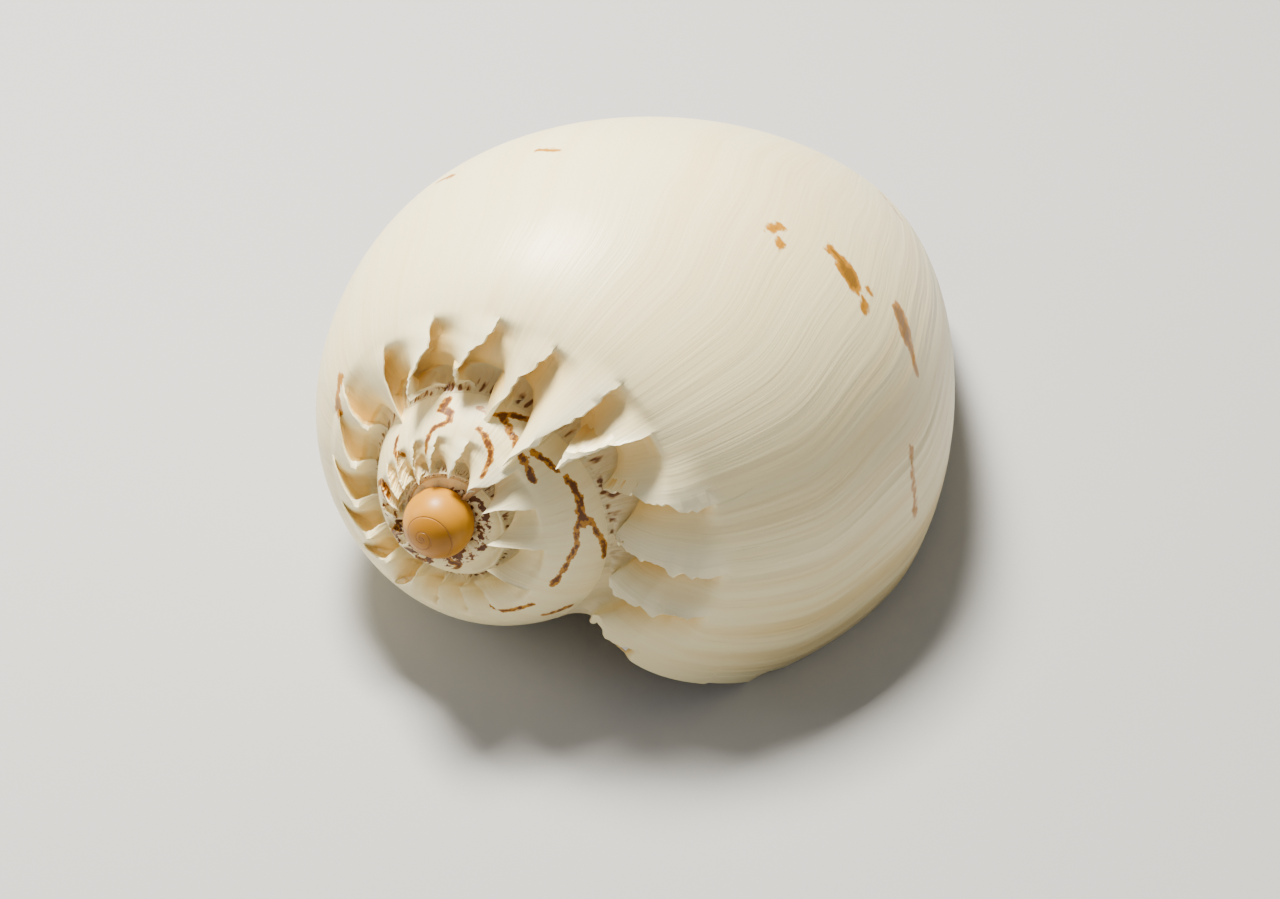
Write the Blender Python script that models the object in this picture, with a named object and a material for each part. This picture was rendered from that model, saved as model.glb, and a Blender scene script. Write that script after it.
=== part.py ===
"""Baler shell: one dextral Melo shell lying on its aperture, 33 cm long.

The wall is a sheet swept along a logarithmic spiral: every growth line is the
same curve, turned about the coiling axis and enlarged by the same factor per
turn. The shell frame has the coiling axis as its height, rising to the apex,
and the pole of the spiral as its origin. "Growth" is the angle grown through
in degrees: 0 at the outer lip and negative in the older whorls.
"""

import math

import bmesh
import bpy
import numpy as np

MM = 0.001

# --- driving dimensions of the spiral: millimetres at the lip, (radius, height)
SCALE_PER_TURN = 2.305           # how much a whorl enlarges in one turn
SUTURE = (52.0, -39.3)           # where the last whorl leaves the one before it
CREST = (63.1, -41.1)            # inner edge of the shoulder, where spines stand
BULGE = (130.3, -144.3)          # widest point of the body whorl
BASE_AIM = (35.9, -320.1)        # where the base of the body whorl is heading
SHOULDER_RISE = 27.0             # slope of the shoulder as it leaves the crest
SEAT_DEPTH = 1.2                 # how far a whorl's edge sits in the older wall
WALL = 3.4                       # wall thickness of the body whorl
LUMEN_HEART = (95.0, -150.0)     # the wall is thickened towards this point

# --- front end, where the growth line runs back round the siphonal notch and
# --- down the far side to the columella: radius, height, degrees swept back
FRONT = (
    (69.0, -290.0, 0.0), (55.0, -284.0, 22.0), (45.0, -275.0, 50.0), (34.0, -270.0, 78.0),
    (27.5, -270.0, 108.0), (25.0, -273.0, 140.0), (23.5, -279.0, 170.0), (21.0, -286.0, 200.0),
    (17.5, -292.0, 228.0), (12.0, -296.0, 250.0), (7.0, -288.0, 262.0),
)
FRONT_ROWS = 16

# --- how it lies: degrees, and the pole of the spiral over the bottom centre --
PITCH = 10.0                     # apex raised above the horizontal
LIP_DROP = 33.0                  # lip below the horizontal, seen from the apex
POLE = (-20.8, -145.6, 77.0)     # from the middle of the ground it covers

# --- growth angles where one sweep ends and the next begins -------------------
HOLLOW_FROM = -445.0             # older whorls than this are solid inside
SPLIT = -226.0
SPIRE_SPLITS = (-690.0, -880.0)
SPIRE_FROM = -1035.0             # buried in the protoconch
BODY_STEP = 5.0
LAP = 2.0                        # each sweep runs on this far into the next
SINK = 0.2                       # and sinks through this share of the wall

# --- spines of the shoulder: growth, reach inwards, height, width -------------
LISTED_SPINES = (
    (8, 5, 5, 1.0), (-14, 7, 5, 1.2), (-30, 7, 2, 1.2), (-48, 8, 1, 1.2), (-67.5, 18, 12, 0.9),
    (-85, 29, 22, 1.0), (-103, 27, 25, 0.5), (-122, 3, 12, 1.2), (-143, 8, 17, 1.1),
    (-161, 36, 13, 0.8), (-188, 6, 9, 1.1), (-211, 5, 9, 1.0), (-232, 5, 9, 1.0),
    (-250, 5, 9, 1.0), (-266, 6, 9, 1.0), (-282, 6, 9, 1.0), (-300, 7, 9, 1.0),
    (-319, 9, 8, 1.0), (-336, 12, 8, 1.0), (-353, 16, 8, 1.1), (-384, 22, 12, 1.1),
    (-419, 20, 7, 1.1), (-447, 14, 7, 1.1), (-475, 11, 7, 1.0), (-497, 10, 8, 1.0),
)
SPIRE_SPINE = (13.0, 13.0, 1.0)  # reach, height and width on the older whorls
SPIRE_SPINE_STEP = 18.5
FIRST_SPINE = -690.0
SPINE_SKIRT = 36.0               # how far down the whorl a spine's flare runs
SPINE_CHANNEL = 11.0             # how far it runs into the channel
SCOOP_DEPTH = 4.0                # degrees the hollow goes back under its edge
SCOOP_WALL = 1.3

# --- protoconch and columella --------------------------------------------------
PROTOCONCH_HEIGHT = -8.2
PROTOCONCH_RADIUS = 11.8
MOAT = 8.0                       # how far the first whorls lie sunken round it
COLUMELLA_TOP = -45.0
COLUMELLA_TIP = -300.0
COLUMELLA_SLOPE = 0.115
COLUMELLA_RADIUS = 17.0
COLUMELLA_BEND = 14.0            # the front end bends down to the ground
BEND_TOWARD = -110.0
CALLUS = 0.6                     # the wall is thicker beside the columella
PLEATS = 4
PLEAT_SPACING = 26.0             # degrees round the columella
PLEAT_HEIGHT = 2.6

TRIANGLES = 9400

GROWTH_RATE = math.log(SCALE_PER_TURN) / (2.0 * math.pi)


def smoothstep(low, high, value):
    """Ease from 0 at low to 1 at high."""
    u = np.clip((value - low) / (high - low), 0.0, 1.0)
    return u * u * (3.0 - 2.0 * u)


def bezier(points, count):
    """Points along a cubic curve, its first point left out."""
    u = np.linspace(0.0, 1.0, count + 1)[1:, None]
    a, b, c, d = (np.array(p, float) for p in points)
    return a * (1 - u) ** 3 + 3 * b * u * (1 - u) ** 2 + 3 * c * u * u * (1 - u) + d * u ** 3


def through(points, count):
    """A smooth run of count points through the given ones."""
    points = np.array(points, float)
    padded = np.concatenate([[2 * points[0] - points[1]], points, [2 * points[-1] - points[-2]]])
    run = []
    for step in np.linspace(0.0, len(points) - 1.0, count):
        index = min(int(step), len(points) - 2)
        u = step - index
        a, b, c, d = padded[index:index + 4]
        run.append(b + 0.5 * u * (c - a + u * (2 * a - 5 * b + 4 * c - d + u * (3 * (b - c) + d - a))))
    return np.array(run)


def growth_line():
    """The growth line: its points, its arc from the crest and its sweep back."""
    rise = math.radians(SHOULDER_RISE)
    seat = (SUTURE[0] - 0.9 * SEAT_DEPTH, SUTURE[1] - 0.44 * SEAT_DEPTH)
    channel = bezier((SUTURE, (54.5, -46.0), (60.0, -47.0), CREST), 8)
    lead = (CREST[0] + 35.4 * math.cos(rise), CREST[1] + 35.4 * math.sin(rise))
    shoulder = bezier((CREST, lead, (BULGE[0], BULGE[1] + 50.4), BULGE), 60)
    base = bezier((BULGE, (BULGE[0], BULGE[1] - 64.3), (64.4, -311.6), BASE_AIM), 60)
    body = np.concatenate([[CREST], shoulder, base[base[:, 1] > FRONT[0][1] + 3.0]])
    run = np.concatenate([[0.0], np.cumsum(np.hypot(*np.diff(body, axis=0).T))])
    flare_rows = [1.2, 2.6, 4.5, 7.0, 10.0, 13.5, 17.5, 22.0, 27.0, 32.0, 37.0, 44.0]
    rows = np.concatenate([flare_rows, np.linspace(54.0, run[-1], 22)])
    kept = np.stack([np.interp(rows, run, body[:, 0]), np.interp(rows, run, body[:, 1])], 1)
    front = through(FRONT, FRONT_ROWS)
    points = np.concatenate([[seat, SUTURE], channel, kept, front[:, :2]])
    arc = np.concatenate([[0.0], np.cumsum(np.hypot(*np.diff(points, axis=0).T))])
    sweep = np.concatenate([np.zeros(len(points) - FRONT_ROWS), front[:, 2]])
    return points, arc - arc[1 + len(channel)], -sweep


LINE, ARC, SWEEP_BACK = growth_line()
CREST_ROW = int(np.argmin(np.abs(ARC)))
OVERLAP_ROW = int(np.argmin(np.abs(LINE[:, 0] - 127.0) + (ARC > 140) * 99.0))
TRIM = -5.5 * smoothstep(70, 125, ARC) - 5.5 * smoothstep(115, 190, ARC) + 2.0 * smoothstep(245, 300, ARC)
LIP_LEAD = 15.0 * np.exp(-np.maximum(ARC + 14.0, 0.0) / 18.0) * (ARC < 45.0)
FLARE = np.where(ARC > 0.0,
                 np.clip(1.0 - ARC / SPINE_SKIRT, 0.0, 1.0) ** 2.2,
                 np.clip(1.0 + ARC / SPINE_CHANNEL, 0.0, 1.0) ** 1.6)


def to_world(radius, height, angle):
    """Shell frame in millimetres to the shared frame in metres."""
    pitch = math.radians(PITCH)
    dorsal = np.array([0.0, math.sin(pitch), math.cos(pitch)])
    apex = np.array([0.0, -math.cos(pitch), math.sin(pitch)])
    radius, height, angle = (np.asarray(v, float)[..., None] for v in (radius, height, angle))
    across = radius * np.cos(angle) * np.array([1.0, 0.0, 0.0]) + radius * np.sin(angle) * dorsal
    return (across + height * apex + np.array(POLE)) * MM


def place(points, growth):
    """World points of a growth line; growth may differ from point to point."""
    turn = growth + TRIM[:len(points)] + LIP_LEAD[:len(points)] * smoothstep(-13.0, 0.0, growth)
    size = np.exp(GROWTH_RATE * np.radians(turn))
    angle = -np.radians(LIP_DROP + turn + SWEEP_BACK[:len(points)])
    moat = MOAT * smoothstep(-620.0, -740.0, growth) * (1.0 - smoothstep(45.0, 84.0, ARC[:len(points)]))
    return to_world(points[:, 0] * size, points[:, 1] * size - moat, angle)


def spine_list():
    """All spines, oldest first: growth, reach, height, width."""
    spines = [tuple(float(v) for v in spine) for spine in LISTED_SPINES]
    growth = spines[-1][0] - SPIRE_SPINE_STEP
    while growth > SPIRE_FROM - 2.0 * SPIRE_SPINE_STEP:
        fade = float(smoothstep(FIRST_SPINE, -560.0, growth))
        spines.append((growth, SPIRE_SPINE[0] * fade, SPIRE_SPINE[1] * fade, SPIRE_SPINE[2]))
        growth -= SPIRE_SPINE_STEP
    return spines[::-1]


SPINES = spine_list()


def flare(spine, amount):
    """How far a spine carries each point of the growth line."""
    lift = FLARE * amount
    return np.stack([-spine[1] * lift * np.sqrt(FLARE), spine[2] * lift], 1)


def rise(width, share):
    """How far a spine has risen when a share of its growth is done."""
    high = 0.70 + 0.20 * FLARE
    low = np.minimum(0.55 - 0.45 * width * (1.0 - FLARE), high - 0.15)
    point = 1.0 - 0.30 * FLARE ** 3 * smoothstep(0.88, 1.0, share)
    return smoothstep(low, high, share) * point


def outer_points(growth):
    """The outer growth line with the flares of the spines beside it."""
    index = next(i for i, spine in enumerate(SPINES) if spine[0] >= growth)
    older, newer = SPINES[index - 1], SPINES[index]
    share = (growth - older[0]) / (newer[0] - older[0])
    left = 0.30 * flare(older, math.exp(-share / 0.22))
    return LINE + flare(newer, rise(newer[3], share)) + left


def torn_edge(points, full):
    """The inner side of a torn edge: each point moved into the flare."""
    tip = points[CREST_ROW]
    root = 0.5 * (points[CREST_ROW - 7] + points[CREST_ROW + 9])
    along = (root - tip) / np.linalg.norm(root - tip)
    middle = tip + np.clip((points - tip) @ along, 0.0, None)[:, None] * along
    inward = middle - points + 1.5 * along
    depth = np.minimum(SCOOP_WALL, 0.5 * np.hypot(*full.T))[:, None]
    return points + inward / np.linalg.norm(inward, axis=1)[:, None] * depth


def into_wall(growth):
    """The way from each outer point through the wall to its inside."""
    size = math.exp(GROWTH_RATE * math.radians(growth))
    lip_thinning = 1.0 - 0.35 * float(smoothstep(-12.0, 0.0, growth))
    wall = WALL * (0.5 + 0.5 * size) * lip_thinning / size
    abreast = LINE * np.exp(-GROWTH_RATE * np.radians(SWEEP_BACK))[:, None]
    tangent = np.gradient(abreast, axis=0)
    inward = np.stack([tangent[:, 1], -tangent[:, 0]], 1)
    inward /= np.linalg.norm(inward, axis=1)[:, None]
    toward = np.array(LUMEN_HEART) - LINE
    toward /= np.linalg.norm(toward, axis=1)[:, None]
    toward += smoothstep(-5.0, 60.0, -SWEEP_BACK)[:, None] * (inward - toward)
    toward /= np.linalg.norm(toward, axis=1)[:, None]
    square = np.clip((inward * toward).sum(1), 0.6, 1.0)
    callus = 1.0 + CALLUS * smoothstep(120.0, 200.0, -SWEEP_BACK)
    return toward * (wall * callus / square)[:, None]


def sections(start, end):
    """Outer growth lines of a sweep as (points, growth of each, sink).

    A sweep runs a little past both its ends, sunk into the one beside it.
    """
    lines = [(outer_points(start - LAP), start - LAP, SINK)]
    for older, newer in zip(SPINES, SPINES[1:]):
        span = newer[0] - older[0]
        shares = [*np.arange(0.08, 0.5, BODY_STEP / span), 0.58, 0.68, 0.78, 0.87, 0.94, 1.0]
        for growth in (older[0] + share * span for share in shares):
            if start + LAP < growth < end - LAP:
                lines.append((outer_points(growth), growth, 0.0))
        growth = newer[0]
        if start + LAP + SCOOP_DEPTH < growth < end - LAP and newer[2] > 0.5:
            full = flare(newer, rise(newer[3], 1.0))
            lines.append((torn_edge(LINE + full, full), growth, 0.0))
            under = SCOOP_DEPTH * np.clip(np.hypot(*full.T) / 4.0, 0.0, 1.0)
            lines.append((LINE + 0.42 * full, growth - under, 0.0))
    if end < 0.0:
        lines.append((outer_points(end + LAP), end + LAP, SINK))
    else:
        lines.append((outer_points(end), end, 0.0))
    return lines


def mesh_object(name, columns, caps):
    """A closed object from columns of points that run round in loops.

    caps holds, for each end, the faces that close it as tuples of rows, or
    None for a fan about the middle of the loop.
    """
    work = bmesh.new()
    grid = [[work.verts.new(point) for point in column] for column in columns]
    rows = len(columns[0])
    for left, right in zip(grid, grid[1:]):
        for row in range(rows):
            after = (row + 1) % rows
            work.faces.new((left[row], right[row], right[after], left[after]))
    for column, faces, flip in ((grid[0], caps[0], False), (grid[-1], caps[1], True)):
        if faces is None:
            middle = work.verts.new(np.mean([v.co for v in column], axis=0))
            corners = [(column[row], column[(row + 1) % rows], middle) for row in range(rows)]
        else:
            corners = [tuple(column[row] for row in face) for face in faces]
        for face in corners:
            work.faces.new(face[::-1] if flip else face)
    bmesh.ops.remove_doubles(work, verts=work.verts, dist=1e-6)
    bmesh.ops.triangulate(work, faces=work.faces)
    if work.calc_volume(signed=True) < 0.0:
        bmesh.ops.reverse_faces(work, faces=work.faces)
    mesh = bpy.data.meshes.new(name)
    work.to_mesh(mesh)
    work.free()
    made = bpy.data.objects.new(name, mesh)
    bpy.context.collection.objects.link(made)
    return made


def wall_sweep(name, start, end):
    """The hollow wall between two growth lines: outer side and inner side."""
    columns = []
    for points, growth, sink in sections(start, end):
        wall = into_wall(float(np.max(growth)))
        outer = place(points + sink * wall, growth)
        inner = place(LINE + (1.0 - sink) * wall, float(np.max(growth)))
        columns.append(np.concatenate([outer, inner[::-1]]))
    rows = len(LINE)
    band = [(row, 2 * rows - 2 - row, 2 * rows - 1 - row) for row in range(rows - 1)]
    band += [(row, row + 1, 2 * rows - 2 - row) for row in range(rows - 1)]
    return mesh_object(name, columns, (band, band))


def spire_sweep(name, start, end):
    """A solid stretch of the spire, closed down to the axis."""
    closing = np.array([(100.0, -122.0), (50.0, -122.0), (2.0, -112.0), (2.0, -43.0)])
    kept = OVERLAP_ROW + 1
    columns = []
    for points, growth, sink in sections(start, end):
        tuck = closing + 0.1 * sink * (np.array([60.0, -85.0]) - closing)
        size = math.exp(GROWTH_RATE * math.radians(float(np.max(growth))))
        angle = np.full(len(closing), -math.radians(LIP_DROP + float(np.max(growth))))
        axial = to_world(tuck[:, 0] * size, tuck[:, 1] * size, angle)
        outer = place(points + sink * into_wall(float(np.max(growth))), growth)
        columns.append(np.concatenate([outer[:kept], axial]))
    return mesh_object(name, columns, (None, None))


def columella():
    """The pillar on the axis, with steep pleats on it and a blunt front end."""
    columns = []
    turns = np.radians(np.arange(0.0, 360.0, 12.0))
    for share in np.linspace(0.0, 1.0, 36):
        height = COLUMELLA_TOP + (COLUMELLA_TIP - COLUMELLA_TOP) * share
        blunt = math.sqrt(max(1.0 - smoothstep(0.93, 1.03, share) ** 2, 0.0))
        radius = COLUMELLA_RADIUS * math.tanh(-COLUMELLA_SLOPE * height / COLUMELLA_RADIUS) * blunt
        phase = np.degrees(turns + math.log(height / COLUMELLA_TIP) / GROWTH_RATE)
        along = (phase + 90.0 + 180.0) % 360.0 - 180.0 + PLEAT_SPACING * (PLEATS - 1) / 2.0
        nearest = np.clip(np.round(along / PLEAT_SPACING), 0, PLEATS - 1) * PLEAT_SPACING
        ridge = np.exp(-((along - nearest) / 7.5) ** 2) * PLEAT_HEIGHT
        grown = radius + ridge * blunt * smoothstep(-170.0, -230.0, height)
        bend = COLUMELLA_BEND * (height / COLUMELLA_TIP) ** 4
        across = grown * np.cos(turns) + bend * math.cos(math.radians(BEND_TOWARD))
        up = grown * np.sin(turns) + bend * math.sin(math.radians(BEND_TOWARD))
        columns.append(to_world(np.hypot(across, up), np.full(len(turns), height), np.arctan2(up, across)))
    return mesh_object("columella", columns, (None, None))


def protoconch():
    """The smooth dome that the shell began as."""
    bpy.ops.mesh.primitive_uv_sphere_add(segments=28, ring_count=16, radius=PROTOCONCH_RADIUS * MM)
    dome = bpy.context.object
    dome.name = "protoconch"
    dome.location = to_world(0.0, PROTOCONCH_HEIGHT, 0.0)
    return dome


def ground():
    """A slab whose top trims the shell flat where it rests."""
    bpy.ops.mesh.primitive_cube_add(size=1.0, location=(0.0, 0.0, -0.05))
    slab = bpy.context.object
    slab.name = "ground"
    slab.scale = (0.6, 0.8, 0.1)
    bpy.ops.object.transform_apply(location=False, rotation=False, scale=True)
    return slab


def add_boolean(target, tool, operation):
    """Join or cut the target by a tool that is then only a guide."""
    step = target.modifiers.new(f"{operation.lower()} {tool.name}", "BOOLEAN")
    step.operation = operation
    step.object = tool
    step.solver = "MANIFOLD"
    tool.hide_render = True
    tool.display_type = "WIRE"


def largest_piece(mesh):
    """Drop the slivers that a union leaves beside the body."""
    work = bmesh.new()
    work.from_mesh(mesh)
    pieces, seen = [], set()
    for first in work.faces:
        if first in seen:
            continue
        seen.add(first)
        piece = [first]
        for face in piece:
            for beside in (other for edge in face.edges for other in edge.link_faces):
                if beside not in seen:
                    seen.add(beside)
                    piece.append(beside)
        pieces.append(piece)
    pieces.sort(key=len)
    for piece in pieces[:-1]:
        bmesh.ops.delete(work, geom=piece, context="FACES")
    bmesh.ops.poke(work, faces=[face for face in work.faces if len(face.verts) > 3])
    work.to_mesh(mesh)
    work.free()


def porcelain():
    """The material of the shell."""
    material = bpy.data.materials.new("porcelain white")
    material.use_nodes = True
    shader = material.node_tree.nodes["Principled BSDF"]
    shader.inputs["Base Color"].default_value = (0.80, 0.74, 0.64, 1.0)
    shader.inputs["Roughness"].default_value = 0.38
    shader.inputs["Metallic"].default_value = 0.0
    return material


def grown_shell():
    """All the sweeps joined into one closed mesh."""
    shell = wall_sweep("outer coil", SPLIT, 0.0)
    spire_ends = (SPIRE_FROM, *SPIRE_SPLITS[::-1], HOLLOW_FROM)
    tools = [wall_sweep("inner coil", HOLLOW_FROM, SPLIT)]
    for index, (start, end) in enumerate(zip(spire_ends, spire_ends[1:])):
        tools.append(spire_sweep(f"spire {index}", start, end))
    tools += [columella(), protoconch()]
    for tool in tools:
        add_boolean(shell, tool, "UNION")
    joined = shell.evaluated_get(bpy.context.evaluated_depsgraph_get())
    mesh = bpy.data.meshes.new_from_object(joined)
    for piece in (shell, *tools):
        bpy.data.objects.remove(piece, do_unlink=True)
    largest_piece(mesh)
    return mesh


def main():
    """Build the shell as one solid."""
    for old in list(bpy.data.objects):
        bpy.data.objects.remove(old, do_unlink=True)
    shell = bpy.data.objects.new("shell", grown_shell())
    bpy.context.collection.objects.link(shell)
    shell.data.materials.clear()
    shell.data.materials.append(porcelain())
    shell.data.shade_smooth()
    shell.data.set_sharp_from_angle(angle=math.radians(50.0))
    lighter = shell.modifiers.new("fewer faces", "DECIMATE")
    lighter.ratio = TRIANGLES / sum(len(face.vertices) - 2 for face in shell.data.polygons)
    lighter.use_collapse_triangulate = True
    add_boolean(shell, ground(), "DIFFERENCE")


main()
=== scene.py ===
"""A baler shell dressed for a still picture: its fine surface, finishes, floor and light.

The wall is a sheet swept along a logarithmic spiral. Every growth line is the same
curve, turned about the coiling axis and enlarged by the same factor per turn.
"Growth" is the angle grown through in degrees: 0 at the outer lip and negative in the
older whorls. "Arc" is how far a place lies along its growth line from the crest of the
shoulder: positive down the whorl, negative across the channel towards the suture.
Arcs and other lengths are millimetres at the lip. A pair of numbers in a field is
where a smooth ramp starts and where it is full, unless its name or comment says more.
"""

import logging
import math
from collections.abc import Iterator
from dataclasses import dataclass, field, replace
from enum import Enum
from functools import cached_property, reduce

import bmesh
import bpy
import numpy as np
from mathutils import Matrix, Vector


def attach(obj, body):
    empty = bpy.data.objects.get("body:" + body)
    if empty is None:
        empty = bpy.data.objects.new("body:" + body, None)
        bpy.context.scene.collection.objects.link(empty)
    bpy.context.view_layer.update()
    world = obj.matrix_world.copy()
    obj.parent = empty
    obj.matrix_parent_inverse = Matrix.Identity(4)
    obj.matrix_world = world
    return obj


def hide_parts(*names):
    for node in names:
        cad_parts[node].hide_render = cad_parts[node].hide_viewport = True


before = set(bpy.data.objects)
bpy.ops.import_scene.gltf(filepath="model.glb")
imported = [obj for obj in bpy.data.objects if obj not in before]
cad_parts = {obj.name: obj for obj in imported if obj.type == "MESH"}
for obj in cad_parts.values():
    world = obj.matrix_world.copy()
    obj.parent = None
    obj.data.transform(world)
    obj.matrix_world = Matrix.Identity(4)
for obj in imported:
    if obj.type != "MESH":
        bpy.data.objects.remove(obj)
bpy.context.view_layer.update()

LOG = logging.getLogger("baler shell")
MM = 0.001
NODE = "shell"

Pair = tuple[float, float]
Triple = tuple[float, float, float]
Column = tuple[np.ndarray, np.ndarray, np.ndarray]
Socket = bpy.types.NodeSocket | float


class Finish(Enum):
    """The materials of the shell, by name."""

    OUTSIDE = "porcelain outside"
    INSIDE = "glossy lining"
    COLUMELLA = "columella callus"
    PROTOCONCH = "orange protoconch"


def smoothstep(low: float, high: float, value: np.ndarray | float) -> np.ndarray:
    """Ease from 0 at low to 1 at high.

    Args:
        low: Where the result is 0; it may be the larger of the two.
        high: Where the result is 1.
        value: The number or numbers to ease.

    Returns:
        The eased value between 0 and 1.
    """
    u = np.clip((value - low) / (high - low), 0.0, 1.0)
    return u * u * (3.0 - 2.0 * u)


def unit(vectors: np.ndarray) -> np.ndarray:
    """The vectors, one in each row, at a length of one."""
    return vectors / np.maximum(np.linalg.norm(vectors, axis=1), 1e-9)[:, None]


def run_along(points: np.ndarray) -> np.ndarray:
    """How far each point of a line lies from the first, along the line."""
    return np.concatenate([[0.0], np.cumsum(np.hypot(*np.diff(points, axis=0).T))])


def bezier(points: tuple, count: int) -> np.ndarray:
    """Points along a cubic curve, its first point left out.

    Args:
        points: The four control points.
        count: How many points to give.

    Returns:
        An array of count points.
    """
    u = np.linspace(0.0, 1.0, count + 1)[1:, None]
    a, b, c, d = (np.array(p, float) for p in points)
    return a * (1 - u) ** 3 + 3 * b * u * (1 - u) ** 2 + 3 * c * u * u * (1 - u) + d * u ** 3


def smooth_run(points: tuple, count: int) -> np.ndarray:
    """A smooth run through the given points.

    Args:
        points: The points that the run goes through.
        count: How many points to give.

    Returns:
        An array of count points.
    """
    given = np.array(points, float)
    padded = np.concatenate([[2 * given[0] - given[1]], given, [2 * given[-1] - given[-2]]])
    run = []
    for step in np.linspace(0.0, len(given) - 1.0, count):
        index = min(int(step), len(given) - 2)
        u = step - index
        a, b, c, d = padded[index:index + 4]
        run.append(b + 0.5 * u * (c - a + u * (2 * a - 5 * b + 4 * c - d + u * (3 * (b - c) + d - a))))
    return np.array(run)


def ripple(positions: np.ndarray, seed: float, octaves: int = 3) -> np.ndarray:
    """A smooth, repeatable wobble between about -1 and 1.

    Args:
        positions: Where to read the wobble.
        seed: Shifts the wobble, so that two edges differ.
        octaves: How many finer wobbles are added.

    Returns:
        The wobble at each position.
    """
    total = np.zeros_like(np.asarray(positions, float))
    for octave in range(octaves):
        pace = 2.17 ** octave
        weight = 1.0 + 0.8 * octave
        total += np.sin(positions * pace + seed * (1.7 + octave)) / weight
        total += 0.6 * np.sin(positions * pace * 1.63 + seed * (2.9 - octave)) / weight
    return total / 2.4


# ---------------------------------------------------------------- the spiral

@dataclass(frozen=True)
class Spiral:
    """The logarithmic spiral and how the shell lies on the ground."""

    scale_per_turn: float = 2.305
    pitch: float = 10.0
    lip_drop: float = 33.0
    pole: Triple = (-20.8, -145.6, 77.0)

    @property
    def rate(self) -> float:
        """Growth in size for each radian."""
        return math.log(self.scale_per_turn) / (2.0 * math.pi)

    @property
    def dorsal(self) -> np.ndarray:
        """The direction square to the coiling axis that points up."""
        return np.array([0.0, math.sin(math.radians(self.pitch)), math.cos(math.radians(self.pitch))])

    @property
    def apical(self) -> np.ndarray:
        """The direction of the coiling axis, towards the apex."""
        return np.array([0.0, -math.cos(math.radians(self.pitch)), math.sin(math.radians(self.pitch))])

    def size(self, growth: np.ndarray | float) -> np.ndarray:
        """The size of the shell at a growth angle, 1 at the lip."""
        return np.exp(self.rate * np.radians(growth))

    def to_world(self, radius: np.ndarray, height: np.ndarray, angle: np.ndarray) -> np.ndarray:
        """Turn places on the shell into the shared frame.

        Args:
            radius: Distances from the coiling axis in millimetres.
            height: Heights along the axis from the pole in millimetres.
            angle: Angles round the axis in radians.

        Returns:
            Points in metres.
        """
        radius, height, angle = (np.asarray(v, float)[..., None] for v in (radius, height, angle))
        across = radius * np.cos(angle) * np.array([1.0, 0.0, 0.0]) + radius * np.sin(angle) * self.dorsal
        return (across + height * self.apical + np.array(self.pole)) * MM


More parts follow.
